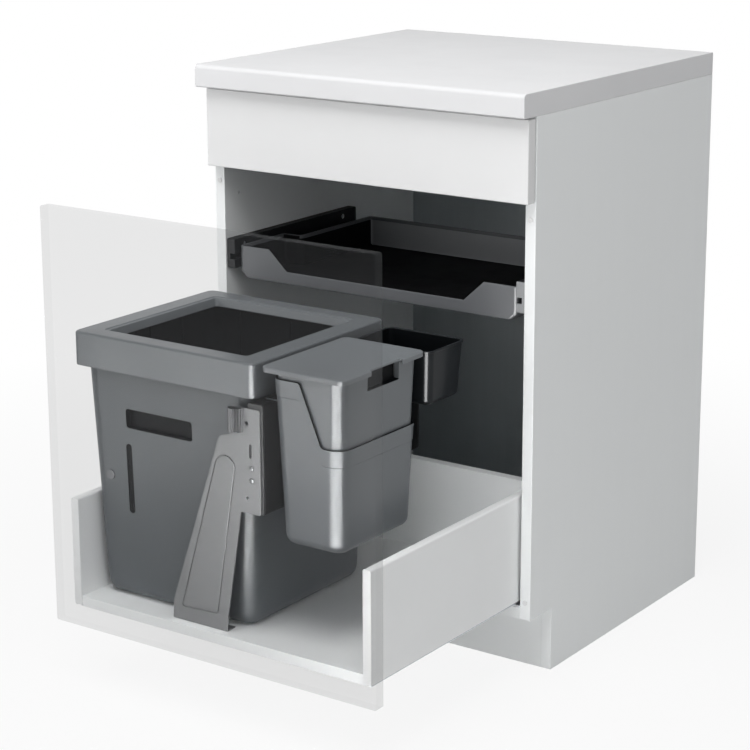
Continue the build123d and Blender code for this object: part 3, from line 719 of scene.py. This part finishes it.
def large_bin():
    low, rim = big_z
    profile = rim_profile(low, rim, reach=60, foot=20, lip=5, band=3, edges=(0.4, 0.6, 0.8, 0.8))
    tub_piece = tub("large_bin_body", big_base, big_top, big_z, 26, profile, bin_plastic, steps=8)

    def leaning(name, outline, span, ease=0.8):
        return prism(name, outline, "y", span, bin_plastic, ease, warp=on_big_wall)

    cup = rectangle(inset(grip_x, -shell), inset(grip_z, -shell), 7)
    carved(tub_piece, leaning("cup", cup, (1.0, grip_depth + shell)), "UNION")
    carved(tub_piece, leaning("hand", rectangle(grip_x, grip_z, 5), (-20, grip_depth)))
    groove_radius = (groove_x[1] - groove_x[0]) / 2 - 0.01
    groove = rectangle(groove_x, groove_z, groove_radius, 6)
    carved(tub_piece, leaning("slot", groove, (-10, groove_depth), 0.5))
    carved(tub_piece, leaning("boss", circle(*boss, boss_radius, 40), (-boss_height, 1.0)), "UNION")
    eased(tub_piece, 0.7)
    # Painted shade: near black inside the bin, in the grip recess and in the groove.
    painted(tub_piece, bin_painted_shade, hollow(big_top[0], big_top[1], rim))
    painted(tub_piece, bin_painted_shade, recessed(inset(grip_x, -1), inset(grip_z, -1), (1.2, grip_depth + 1)))
    painted(tub_piece, bin_painted_shade, recessed(groove_x, groove_z, (1.0, 2.0)))
    # Painted highlight: the boss's face gets the lighter tray grey.
    boss_x, boss_z = (inset((place, place), -boss_radius - 1) for place in boss)
    painted(tub_piece, tray_plastic, recessed(boss_x, boss_z, (-2.0, -0.9)))
    settle(tub_piece, "large_bin")


def bag_frame():
    x, y, z = extent("bag_frame")
    mouth_x, mouth_y = (66, 320), (-308, -64)
    reach = 40.0
    wall, taper = 3.0, 4.0
    profile = rounded([
        (0, z[0], 0.8), (0, z[1], 3.5), (reach - 9, z[1], 0.6), (reach - 8, z[1] - 1.2, 0.5),
        (reach - taper, z[1] - 1.6, 1.6), (reach, z[1] - 14, 0.8), (reach - wall, z[1] - 14, 0.8),
        (reach - wall - taper, z[1] - wall - 1.6, 1.0), (wall, z[1] - wall, 1.5), (wall, z[0], 0.8),
    ], 4)
    rings = []
    for depth, height in profile:
        share = depth / reach
        radius = between(10, 5, share)
        ring = rectangle(spread(x, mouth_x, share), spread(y, mouth_y, share), radius, 8)
        rings.append([at(p.x, p.y, height) for p in ring])
    frame_piece = solid("bag_frame_collar", *skin(rings, closed=True), bins_painted_lighter)
    settle(frame_piece, "bag_frame")


holder_hook = ((364, 389), (-320, -165))
holder_base = ((395, 503), (-331, -153))
holder_top = ((386, 512), (-340, -144))
holder_z = extent("organics_holder")[2]
step_low = 448.0
step_x = (438.0, 473.0)
play = 0.8
step_drop = holder_z[1] - step_low
seam_ends = (300.0, 600.0)
seam = rounded([
    (seam_ends[0], 0, 0), (step_x[0], 0, 6), (step_x[1], step_drop, 8), (seam_ends[1], step_drop, 0),
], 5)


def seam_drop(x, y):
    """How far the holder's rim lies below its high side."""
    for before, after in zip(seam, seam[1:]):
        if before.x <= x <= after.x:
            return between(before.y, after.y, (x - before.x) / max(after.x - before.x, 1e-6))
    return 0.0


def hooked(tub_piece, x, y, material):
    """Welds the tab that rests on the beam to a tub."""
    thick = 3.0
    top = extent("hanging_beam")[2][1]
    carved(tub_piece, box_solid("hook", x, y, (top, top + thick), material, 0.6), "UNION")


def organics_holder():
    low, rim = holder_z
    profile = rim_profile(
        low, rim, reach=22, foot=14, lip=0.8, band=26, edges=(0.6, 0.6, 0.8, 0.8), slope=1.2
    )
    columns = [p.x for p in seam if seam_ends[0] < p.x < seam_ends[1]]
    holder = tub(
        "organics_holder_shell", holder_base, holder_top, holder_z, 22, profile, bins_painted_lighter,
        columns, seam_drop,
    )
    hooked(holder, *holder_hook, bins_painted_lighter)
    # Painted shade inside the holder and on its rim's top faces, which darkens the seam.
    painted(holder, bin_painted_shade, hollow(holder_top[0], holder_top[1], rim))
    seam_shade_above = 300 * MM
    painted(holder, bin_painted_shade, lambda c, n: n.z > 0.25 and c.z > seam_shade_above)
    settle(holder, "organics_holder")


notch_y = (-275.0, -198.0)
notch_z = 522.0


def organics_bin():
    low, rim = extent("organics_bin")[2]
    gap = shell + play
    slope = (holder_base[0][0] - holder_top[0][0]) / (holder_z[1] - holder_z[0])
    grown = gap - (rim - holder_z[0]) * slope
    base = tuple(inset(span, gap) for span in holder_base)
    top = tuple(inset(span, grown) for span in holder_base)
    lid_x, lid_y = extent("organics_lid")[:2]
    profile = rim_profile(low, rim, reach=40, foot=11, lip=3, band=3, edges=(0.4, 0.6, 0.6, 0.6))
    bucket = tub("organics_bin_body", base, top, (low, rim), 19, profile, bins_painted_lighter)
    outer = rectangle(inset(lid_x, 4), inset(lid_y, 4), 9, 6)
    rim_ring = prism("rim", outer, "z", (rim - 3, rim), bins_painted_lighter, 0.6)
    mouth = rectangle(inset(top[0], 1), inset(top[1], 1), 14, 6)
    carved(rim_ring, prism("mouth", mouth, "z", (rim - spare, rim + spare), bin_plastic, 0))
    carved(bucket, rim_ring, "UNION")
    recess = 499.0
    cup_x, cup_z = (recess - shell, 507), (notch_z - shell, rim - 0.2)
    cup = box_solid("cup", cup_x, inset(notch_y, -shell), cup_z, bins_painted_lighter, 1.0)
    carved(bucket, cup, "UNION")
    finger_z = (notch_z, rim + spare)
    carved(bucket, box_solid("finger", (recess, 540), notch_y, finger_z, bins_painted_lighter, 1.5))
    eased(bucket, 0.5)
    # Painted shade inside the bin and in the finger cup under the lid's notch.
    painted(bucket, bin_painted_shade, hollow(holder_top[0], holder_top[1], rim))
    painted(bucket, bin_painted_shade, within((recess - 1, 508), inset(notch_y, -1), (notch_z - 1, rim)))
    settle(bucket, "organics_bin")


def organics_lid():
    x, y, z = extent("organics_lid")
    wall, roof, sunk = 2.5, 3.0, 0.6
    border = (7.5, 9.0)
    middle_depth = 50.0
    profile = rounded([
        (middle_depth, z[1] - sunk, 0), (border[1], z[1] - sunk, 0), (border[0], z[1], 0.8),
        (0, z[1], 2.2), (0.4, z[0], 0.6), (wall, z[0], 0.4),
        (wall, z[1] - roof, 1.0), (middle_depth, z[1] - roof, 0),
    ], 4)
    rings = []
    for depth, height in profile:
        ring = rectangle(inset(x, depth), inset(y, depth), max(11 - depth, 0.8), 6)
        rings.append([at(p.x, p.y, height) for p in ring])
    lid = solid("organics_lid_cover", *skin(rings), lid_painted_lighter)
    notch_depth = 5.0
    notch_x = (x[1] - notch_depth, x[1] + spare)
    carved(lid, box_solid("notch", notch_x, notch_y, inset(z, -5), bin_plastic, 1.5))
    settle(eased(lid, 0.5), "organics_lid")


def utility_box():
    x, y = (382.0, 517.0), (-132.0, -38.0)
    hook_x, hook_y = (364, 386), (-118, -52)
    low, rim = extent("utility_box")[2]
    draft = 5.0
    profile = rim_profile(low, rim, reach=30, foot=8, lip=1.5, band=3, edges=(0.4, 0.4, 1.0, 1.0))
    base = (inset(x, draft), inset(y, draft))
    box = tub("utility_box_body", base, (x, y), (low, rim), 12, profile, box_painted_shade)
    hooked(box, hook_x, hook_y, box_painted_shade)
    # Painted shade inside the box.
    painted(box, bin_painted_shade, hollow(x, y, rim))
    settle(box, "utility_box")


# ---------------------------------------------------------------- tray
tray_wide, tray_narrow = 264.0, 230.0
tray_rows = (33.0, 153.0, 353.0)
tray_tuck = 12.0
tray_corner = 8.0
tray_lip = 587.0


def utensil_tray():
    low, rim = extent("tray")[2]
    dip_outer, dip_inner = 203.0, 168.0
    columns = (-dip_outer, -dip_inner, dip_inner, dip_outer)

    def outline_at(height, depth):
        tuck = max(0.0, tray_tuck - (height - low))
        wide, narrow = tray_wide - depth - tuck, tray_narrow - depth
        front, step, end = tray_rows[0] + depth, tray_rows[1] - depth, tray_rows[2] - depth
        radius = max(tray_corner - depth, 1.0)
        inner = tray_corner + depth if tuck < tray_tuck else tray_corner
        spots = [
            (-wide, front, radius), *((c, front, 0) for c in columns), (wide, front, radius),
            (wide, step, radius), (narrow, step, inner), (narrow, end, radius),
            (-narrow, end, radius), (-narrow, step, inner), (-wide, step, radius),
        ]
        return [Vector((centre_x + p.x, p.y)) for p in rounded(spots, 5)]

    def rim_drop(x, y):
        side = abs(x - centre_x)
        if y > tray_rows[0] + 6 or side > dip_outer:
            return 0.0
        share = min(1.0, (dip_outer - side) / (dip_outer - dip_inner))
        return share * (rim - tray_lip)

    wall, base, reach, edge = 3.0, 2.5, 12.0, 6.0
    profile = [
        (reach, low, 0), (0, low, 3), (0, low + tray_tuck, 0), (0, rim - edge, 0), (0, rim, 1.3),
        (wall, rim, 1.3), (wall, rim - edge, 0), (wall, low + tray_tuck, 0), (wall, low + base, 2),
        (reach, low + base, 0),
    ]
    rings = []
    for depth, height in rounded(profile, 4):
        ring = []
        for spot in outline_at(height, depth):
            lowered = height - (rim_drop(spot.x, spot.y) if height > rim - edge - 1 else 0)
            ring.append(at(spot.x, spot.y, lowered))
        rings.append(ring)
    tray = solid("tray_moulding", *skin(rings), tray_plastic)
    tray_hollow = hollow(inset((centre_x, centre_x), -tray_wide), tray_rows[::2], rim)
    wings = inset((centre_x, centre_x), -280)
    step_wall = within(wings, (tray_rows[1] - 6, tray_rows[1] + 0.1), (low + 3, rim - 3))
    rear_row = at(0, tray_rows[2] - 20, 0).y

    def rear_wall(centre, normal):
        return normal.y < -0.7 and centre.y > rear_row

    # Painted shade in the hollow and on the step wall; painted light on the rear wall.
    painted(tray, tray_painted_shade, lambda c, n: tray_hollow(c, n) and not rear_wall(c, n))
    painted(tray, tray_painted_shade, lambda c, n: step_wall(c, n) and n.y < 0)
    painted(tray, tray_painted_light, lambda c, n: tray_hollow(c, n) and rear_wall(c, n))
    settle(tray, "tray")


# ---------------------------------------------------------------- beam and brackets
sheet = 2.0
pair_z = (402.0, 384.0)
pair_x = 360.0
plate_holes = ((353, 468, 3.0), (352, 357, 2.6))
plate_slot = ((356.5, 361), (417, 438))
foot_x = (232.0, 288.0)
foot_depth = 20.0
rear_lean = 70.0


def bracket_outline(lean):
    """The leg and its upright plate; the foot stands further to the left by the lean."""
    return rounded([
        (207 - lean, 143, 1.5), (310 - lean, 143, 1.5), (312 - lean, 168, 6), (340, 334, 3),
        (376, 334, 3), (376, 490, 3), (322, 490, 3), (322, 447, 3), (306, 443, 10), (300, 437, 6),
        (209 - lean, 172, 6),
    ], 4)


def arched_panel(amount):
    """The pressed panel's outline, drawn in by an amount."""
    spots = [(226, 166, 3), (293, 169, 3), (331, 402, 14), (313, 420, 14), (296, 402, 14)]
    return shrunk(rounded(spots, 5), amount)


def leg_bracket(end, facing, lean, pressed):
    """A pressed sheet leg; facing is the y direction that its face looks in."""
    node = f"{end}_leg_bracket"
    y = extent(node)[1]
    face = y[0] if facing < 0 else y[1]
    pressing = 1.0 if pressed else 0.0
    plane = face - facing * pressing
    back = plane - facing * sheet
    span = (min(plane, back), max(plane, back))
    leg = prism(f"{end}_leg_bracket_sheet", bracket_outline(lean), "y", span, bracket_zinc, 0.5, 2)
    foot_y = tuple(sorted((plane - facing * 0.4, plane - facing * foot_depth)))
    foot_span = (209 - lean, 309 - lean)
    foot = box_solid("foot", foot_span, foot_y, (floor_z, floor_z + sheet), bracket_zinc, 0.5)
    carved(leg, foot, "UNION")
    if pressed:
        groove_y = (span[0] - 2, span[0] + 1.3)
        trench = prism("trench", arched_panel(-1.6), "y", groove_y, bracket_zinc, 0.0)
        carved(trench, prism("island", arched_panel(0.6), "y", inset(groove_y, -3), bracket_zinc, 0.0))
        carved(leg, trench)
        raised = prism("raised", arched_panel(0.6), "y", (span[0] - 0.9, span[0] + 1), bracket_zinc, 0.7)
        carved(leg, raised, "UNION")
        for hole_x, hole_z, radius in plate_holes:
            carved(leg, drilled(hole_x, span, hole_z, radius))
        slot = rectangle(*plate_slot, 2.2)
        carved(leg, prism("slot", slot, "y", inset(span, -5), bracket_zinc, 0))
    settle(eased(leg, 0.25, segments=1), node)


# ---------------------------------------------------------------- repeated pieces
def geometry_tree(name, sizes):
    """A geometry tree with named size inputs, a material input and geometry in and out."""
    tree = bpy.data.node_groups.new(name, "GeometryNodeTree")
    socket(tree, "Geometry", "NodeSocketGeometry")
    for label, default in sizes.items():
        kind = "NodeSocketInt" if isinstance(default, int) else "NodeSocketFloat"
        socket(tree, label, kind, default)
    socket(tree, "Material", "NodeSocketMaterial")
    socket(tree, "Geometry", "NodeSocketGeometry", out=True)
    return tree, tree.nodes.new("NodeGroupInput"), tree.nodes.new("NodeGroupOutput")


def scaled(tree, value, factor):
    return combined(tree, value, factor, "MULTIPLY")


def raised_by(tree, geometry, height):
    """The geometry moved up."""
    lift = wired(tree, "ShaderNodeCombineXYZ", Z=height)
    moved = wired(tree, "GeometryNodeTransform", Geometry=geometry, Translation=lift.outputs[0])
    return moved.outputs[0]


def placed_on_points(tree, start, end, shape):
    """Copies a shape onto the incoming points, turned to each point's facing."""
    facing = wired(tree, "GeometryNodeInputNamedAttribute", Name="facing")
    facing.data_type = "FLOAT_VECTOR"
    turn = wired(tree, "FunctionNodeAlignRotationToVector", Vector=facing.outputs["Attribute"])
    turn.axis = "Z"
    points = wired(tree, "GeometryNodeMeshToPoints", Mesh=start.outputs["Geometry"])
    copies = wired(
        tree, "GeometryNodeInstanceOnPoints",
        Points=points.outputs[0], Instance=shape, Rotation=turn.outputs[0],
    )
    real = wired(tree, "GeometryNodeRealizeInstances", Geometry=copies.outputs[0])
    finish = wired(
        tree, "GeometryNodeSetMaterial", Geometry=real.outputs[0], Material=start.outputs["Material"]
    )
    tree.links.new(finish.outputs[0], end.inputs["Geometry"])


def screw_tree():
    """Pan-head screws with a cross recess."""
    sizes = {"Head Radius": 0.0036, "Head Height": 0.0018, "Shank Radius": 0.0017, "Length": 0.011}
    tree, start, end = geometry_tree("cross_screws", sizes)
    radius, height = start.outputs["Head Radius"], start.outputs["Head Height"]
    sides = 28
    half = scaled(tree, height, 0.5)
    rim = wired(tree, "GeometryNodeMeshCylinder", Vertices=sides, Radius=radius, Depth=half)
    rim = raised_by(tree, rim.outputs["Mesh"], scaled(tree, height, 0.25))
    crown = wired(
        tree, "GeometryNodeMeshCone", Vertices=sides, Radius_Top=scaled(tree, radius, 0.66),
        Radius_Bottom=radius, Depth=half,
    )
    crown = raised_by(tree, crown.outputs["Mesh"], half)
    length = start.outputs["Length"]
    shank = wired(
        tree, "GeometryNodeMeshCylinder", Vertices=16, Radius=start.outputs["Shank Radius"], Depth=length
    )
    shank = raised_by(tree, shank.outputs["Mesh"], scaled(tree, length, -0.5))
    head = wired(tree, "GeometryNodeMeshBoolean", Mesh_2=crown)
    head.operation = "UNION"
    tree.links.new(rim, head.inputs["Mesh 2"])
    arms = []
    for across in (True, False):
        long_side, short_side = scaled(tree, radius, 1.15), scaled(tree, radius, 0.26)
        size = wired(
            tree, "ShaderNodeCombineXYZ", X=long_side if across else short_side,
            Y=short_side if across else long_side, Z=height,
        )
        arm = wired(tree, "GeometryNodeMeshCube", Size=size.outputs[0])
        arms.append(raised_by(tree, arm.outputs["Mesh"], scaled(tree, height, 0.95)))
    recess = wired(tree, "GeometryNodeMeshBoolean", Mesh_1=head.outputs["Mesh"], Mesh_2=arms[0])
    recess.operation = "DIFFERENCE"
    head.solver = recess.solver = "MANIFOLD"
    tree.links.new(arms[1], recess.inputs["Mesh 2"])
    whole = wired(tree, "GeometryNodeJoinGeometry", Geometry=recess.outputs["Mesh"])
    tree.links.new(shank, whole.inputs["Geometry"])
    placed_on_points(tree, start, end, whole.outputs[0])
    return tree


def rib_tree():
    """Half-round upright ribs."""
    tree, start, end = geometry_tree("wall_ribs", {"Rib Radius": 0.0022, "Rib Height": 0.2})
    rib = wired(
        tree, "GeometryNodeMeshCylinder", Vertices=14, Radius=start.outputs["Rib Radius"],
        Depth=start.outputs["Rib Height"],
    )
    placed_on_points(tree, start, end, rib.outputs["Mesh"])
    return tree


def flute_tree():
    """A round post whose side is fluted by a cosine."""
    sizes = {"Radius": 0.0118, "Height": 0.035, "Flutes": 16.0, "Flute Depth": 0.0018}
    tree, start, end = geometry_tree("fluted_post", sizes)
    post = wired(
        tree, "GeometryNodeMeshCylinder", Vertices=264, Radius=start.outputs["Radius"],
        Depth=start.outputs["Height"],
    )
    place = wired(tree, "GeometryNodeInputPosition").outputs[0]
    parts = wired(tree, "ShaderNodeSeparateXYZ", Vector=place).outputs
    angle = combined(tree, parts["Y"], parts["X"], "ARCTAN2")
    wave = combined(tree, scaled(tree, angle, start.outputs["Flutes"]), 0.0, "COSINE")
    pull = scaled(tree, scaled(tree, wave, start.outputs["Flute Depth"]), 0.5)
    outward = wired(tree, "ShaderNodeCombineXYZ", X=parts["X"], Y=parts["Y"])
    unit = vector_math(tree, "NORMALIZE", outward.outputs[0])
    push = vector_math(tree, "SCALE", unit.outputs[0])
    tree.links.new(pull, push.inputs["Scale"])
    body = post.outputs["Mesh"]
    fluted = wired(tree, "GeometryNodeSetPosition", Geometry=body, Offset=push.outputs[0])
    placed_on_points(tree, start, end, fluted.outputs[0])
    return tree


def repeated(name, tree, spots, sizes, material):
    """Runs a tree on points; each spot is a place (x, y, z) and the way it faces."""
    mesh = bpy.data.meshes.new(name)
    mesh.from_pydata([at(*place) for place, facing in spots], [], [])
    facings = mesh.attributes.new("facing", "FLOAT_VECTOR", "POINT")
    for i, (place, facing) in enumerate(spots):
        facings.data[i].vector = facing
    made = linked(name, mesh)
    change = made.modifiers.new("repeat", "NODES")
    change.node_group = tree
    values = dict(sizes, Material=material)
    for item in tree.interface.items_tree:
        if item.in_out == "INPUT" and item.name in values:
            change[item.identifier] = values[item.name]
    return applied(made)


def screw_pieces():
    """Every group of screws, each on its own node."""
    tree = screw_tree()
    shank_radius = 1.75
    rail_rows = (61.0, 253.0, 445.0)
    down, up, rear, forward = (0, 0, -1), (0, 0, 1), (0, 1, 0), (0, -1, 0)
    behind_front = extent("pullout_front")[1][1] + 1.5
    rail_z = extent("top_rail_front")[2][0]
    plate_front, plate_rear = extent("front_leg_bracket")[1][0] + 1, extent("rear_leg_bracket")[1][1]

    def inward(reach, rows, z):
        return [((centre_x - way * reach, y, z), (way, 0, 0)) for way in (1, -1) for y in rows]

    def rearward(reach, y, rows):
        return [((centre_x + side * reach, y, z), rear) for side in (-1, 1) for z in rows]

    feet = [((x, plate_front + 12, floor_z + sheet), up) for x in foot_x]
    feet += [((x - rear_lean, plate_rear - 12, floor_z + sheet), up) for x in foot_x]
    pairs = [((pair_x, plate_front, z), forward) for z in pair_z]
    pairs += [((pair_x, plate_rear, z), rear) for z in pair_z]
    under_worktop = [((centre_x + x, 81, rail_z), down) for x in (-220, 0, 220)]
    # Per node: its places, then the head's radius and height and the length.
    jobs = {
        "worktop_screws": (under_worktop, 4.5, 2.2, 30),
        "fixed_front_screws": (rearward(260, 20.5, (803, 827)), 3.6, 1.8, 11),
        "rail_screws": (inward(280.5, rail_rows, 148), 3.4, 1.2, 11),
        "tray_runner_screws": (inward(269, tray_screw_rows, tray_screw_z), 3.6, 2, 20),
        "front_screws": (rearward(270, behind_front, (190, 230, 270)), 3.6, 1.8, 1.2),
        "bracket_screws": (pairs + feet, 4.0, 2.2, 9),
    }
    for node, (spots, head, height, length) in jobs.items():
        sizes = {
            "Head Radius": head * MM, "Head Height": height * MM,
            "Shank Radius": shank_radius * MM, "Length": length * MM,
        }
        finish = screw_zinc if node == "bracket_screws" else runner_steel
        settle(repeated(f"{node}_set", tree, spots, sizes, finish), node, 30)


def bin_ribs():
    """Stiffening ribs inside the large bin, which lean with its walls."""
    rise = big_z[1] - big_z[0]
    spots = []
    height, rib_radius = 300.0, 2.0
    mid = 380.0
    share = (mid - big_z[0]) / rise
    for axis, across in ((0, (90, 190, 290)), (1, (-110, -186, -262))):
        other = 1 - axis
        for side in (0, 1):
            wall = between(big_base[other][side], big_top[other][side], share)
            wall += shell if side == 0 else -shell
            lean = (big_top[other][side] - big_base[other][side]) / rise
            for row in across:
                if other == 1 and side == 0:
                    continue
                place = (row, wall, mid) if other == 1 else (wall, row, mid)
                facing = (0, lean, 1) if other == 1 else (lean, 0, 1)
                spots.append((place, facing))
    sizes = {"Rib Radius": rib_radius * MM, "Rib Height": height * MM}
    # The ribs get the painted shade of the bin's inside.
    ribs = repeated("large_bin_ribs", rib_tree(), spots, sizes, bin_painted_shade)
    ribs.data.shade_smooth()
    ribs.data.set_sharp_from_angle(angle=math.radians(40))
    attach(ribs, "large_bin")


def ribbed_buffer():
    x, y, z = extent("ribbed_buffer")
    plate = y[1]
    post_radius, behind = 11.6, 30.0
    sizes = {"Radius": post_radius * MM, "Height": (z[1] - z[0]) * MM}
    spots = [((middle(x), plate, middle(z)), (0, 0, 1))]
    post = repeated("ribbed_buffer_post", flute_tree(), spots, sizes, buffer_rubber)
    tool_y = (plate, plate + behind)
    carved(post, box_solid("plate", inset(x, -spare), tool_y, inset(z, -spare), buffer_rubber, 0))
    settle(post, "ribbed_buffer", 25)


def beam_pieces():
    x, y, z = extent("hanging_beam")
    beam_wall = 2.0
    outline = rectangle(x, z, 2.0, 4)
    beam = prism("hanging_beam_box", outline, "y", y, beam_metal, 0.3, 2)
    carved(beam, prism("bore", shrunk(outline, beam_wall), "y", inset(y, -spare), beam_metal, 0))
    settle(beam, "hanging_beam")
    for end in ("front", "rear"):
        node = f"beam_end_cap_{end}"
        x, y, z = extent(node)
        cap_y = (y[0], y[0] + 4) if end == "front" else (y[1] - 4, y[1])
        cap = prism(f"{node}_plate", rectangle(x, z, 2.0, 4), "y", cap_y, trim_plastic, 0.6)
        settle(cap, node)


tray_screw_rows = (51.0, 321.0)
tray_screw_z = 619.0


def runner_pieces():
    for node in ("tray_runner_left", "tray_runner_right"):
        x, y, z = extent(node)
        bar = prism(f"{node}_bar", rectangle(y, z, 2.0, 3), "x", x, runner_plastic, 0.8)
        cup_x = (x[1] - 3, x[1] + 1) if "left" in node else (x[0] - 1, x[0] + 3)
        for row in tray_screw_rows:
            carved(bar, side_drill(cup_x, row, tray_screw_z, 4.0, 0))
        slot_x = (x[1] - 10, x[1] + 5) if "left" in node else (x[0] - 5, x[0] + 10)
        slot_y, slot_z = (y[0] - 5, 352), (596.7, 605.8)
        carved(bar, box_solid("slot", slot_x, slot_y, slot_z, runner_plastic, 0))
        eased(bar, 0.4)
        # Painted light on the right runner's front faces only.
        if node == "tray_runner_right":
            painted(bar, runner_end_painted_light, lambda centre, normal: normal.y < -0.6)
        settle(bar, node)


# ---------------------------------------------------------------- assembly
carcass_boards()
side_panels()
worktop_slab()
fixed_front_board()
see_through_front()
drawer_walls()
large_bin()
bag_frame()
organics_holder()
organics_bin()
organics_lid()
utility_box()
utensil_tray()
leg_bracket("front", -1, 0, True)
leg_bracket("rear", 1, rear_lean, False)
beam_pieces()
runner_pieces()
screw_pieces()
bin_ribs()
ribbed_buffer()


# ---------------------------------------------------------------- floor, light and camera
def background_rays(tree):
    """1 for the rays that should find a plain white background."""
    path = tree.nodes.new("ShaderNodeLightPath")
    seen = combined(tree, path.outputs["Is Camera Ray"], path.outputs["Is Glossy Ray"], "MAXIMUM")
    return combined(tree, seen, path.outputs["Is Transmission Ray"], "MAXIMUM")


def mixed_output(tree, share, first, second, kind):
    """Mixes two shaders by a share into an output node."""
    mix = wired(tree, "ShaderNodeMixShader", Fac=share)
    tree.links.new(first.outputs[0], mix.inputs[1])
    tree.links.new(second.outputs[0], mix.inputs[2])
    wired(tree, kind, Surface=mix.outputs[0])


def studio_floor():
    """A pale floor that shows nearly white, and a soft shadow."""
    shadow_share = 0.12
    fade = (0.7, 1.9)
    half, below = 9.0, -0.0004
    mesh = bpy.data.meshes.new("studio_floor")
    corners = ((-half, -half), (half, -half), (half, half), (-half, half))
    mesh.from_pydata([(*corner, below) for corner in corners], [], [(0, 1, 2, 3)])
    plane = linked("studio_floor", mesh)
    material = bpy.data.materials.new("studio_floor")
    material.use_nodes = True
    tree = material.node_tree
    tree.nodes.clear()
    diffuse = wired(tree, "ShaderNodeBsdfDiffuse", Color=(0.7, 0.7, 0.7, 1))
    glow = tree.nodes.new("ShaderNodeEmission")
    spot = tree.nodes.new("ShaderNodeTexCoord").outputs["Object"]
    away = vector_math(tree, "LENGTH", spot).outputs["Value"]
    plain = remap(tree, away, *fade, 1 - shadow_share, 1.0)
    share = combined(tree, background_rays(tree), plain, "MULTIPLY")
    mixed_output(tree, share, diffuse, glow, "ShaderNodeOutputMaterial")
    mesh.materials.append(material)


def studio_world(ambient):
    """A faintly cool, even light from all around; camera, gloss and transmission rays see white."""
    world = bpy.data.worlds.new("studio")
    bpy.context.scene.world = world
    world.use_nodes = True
    tree = world.node_tree
    tree.nodes.clear()
    light = wired(tree, "ShaderNodeBackground", Color=(0.97, 0.985, 1.0, 1), Strength=ambient)
    white = wired(tree, "ShaderNodeBackground", Color=(1, 1, 1, 1), Strength=1.0)
    mixed_output(tree, background_rays(tree), light, white, "ShaderNodeOutputWorld")


def softbox(name, place, target, size, power, gloss_only=False):
    """A lamp aimed at a target, in metres and watts; a gloss_only one lights nothing matt."""
    light = bpy.data.lights.new(name, "AREA")
    light.shape = "RECTANGLE"
    light.size, light.size_y = size
    light.energy = power
    lamp = linked(name, light)
    lamp.location = place
    lamp.rotation_euler = (Vector(target) - Vector(place)).to_track_quat("-Z", "Y").to_euler()
    lamp.visible_camera = False
    lamp.visible_diffuse = not gloss_only


def photo_camera():
    """The photograph's view, as fitted to the cabinet's straight edges; _px values are pixels."""
    place = at(2178.6, -2623.5, 1345.0)
    yaw, pitch, roll = math.radians(34.8), math.radians(-14.3), math.radians(-0.1)
    focal_px, centre_px = 2151.4, (389.8, 329.9)
    frame_px, sensor = 750.0, 36.0
    forward = Vector((-math.sin(yaw) * math.cos(pitch), math.cos(yaw) * math.cos(pitch), math.sin(pitch)))
    right = Vector((math.cos(yaw), math.sin(yaw), 0))
    level, plumb = right, right.cross(forward)
    right = level * math.cos(roll) + plumb * math.sin(roll)
    up = plumb * math.cos(roll) - level * math.sin(roll)
    data = bpy.data.cameras.new("photo_camera")
    data.sensor_width = sensor
    data.lens = focal_px * sensor / frame_px
    data.shift_x = (frame_px / 2 - centre_px[0]) / frame_px
    data.shift_y = (centre_px[1] - frame_px / 2) / frame_px
    camera = linked("photo_camera", data)
    turn = Matrix((right, up, -forward)).transposed().to_4x4()
    camera.matrix_world = Matrix.Translation(place) @ turn
    bpy.context.scene.camera = camera


studio_floor()
studio_world(0.24)
aim = (0.0, -0.2, 0.45)
bins = (0.1, -0.4, 0.4)
softbox("key_softbox", (-1.9, -2.7, 1.4), aim, (2.4, 2.6), 34)
softbox("top_softbox", (0.3, -1.3, 3.0), aim, (2.2, 1.6), 61)
softbox("side_softbox", (3.4, -1.6, 1.6), aim, (2.0, 2.0), 17.5)
softbox("rear_softbox", (2.5, 2.2, 1.7), aim, (1.8, 2.0), 4)
softbox("corner_card", (0.3, -0.75, 0.26), (0.16, -0.43, 0.3), (0.56, 0.5), 32, gloss_only=True)
softbox("low_card", (-0.4, -1.25, 0.22), bins, (1.0, 0.42), 10, gloss_only=True)
softbox("low_fill", (-0.5, -1.9, 0.3), bins, (1.2, 0.5), 2)
photo_camera()
bpy.context.scene.view_settings.view_transform = "Standard"
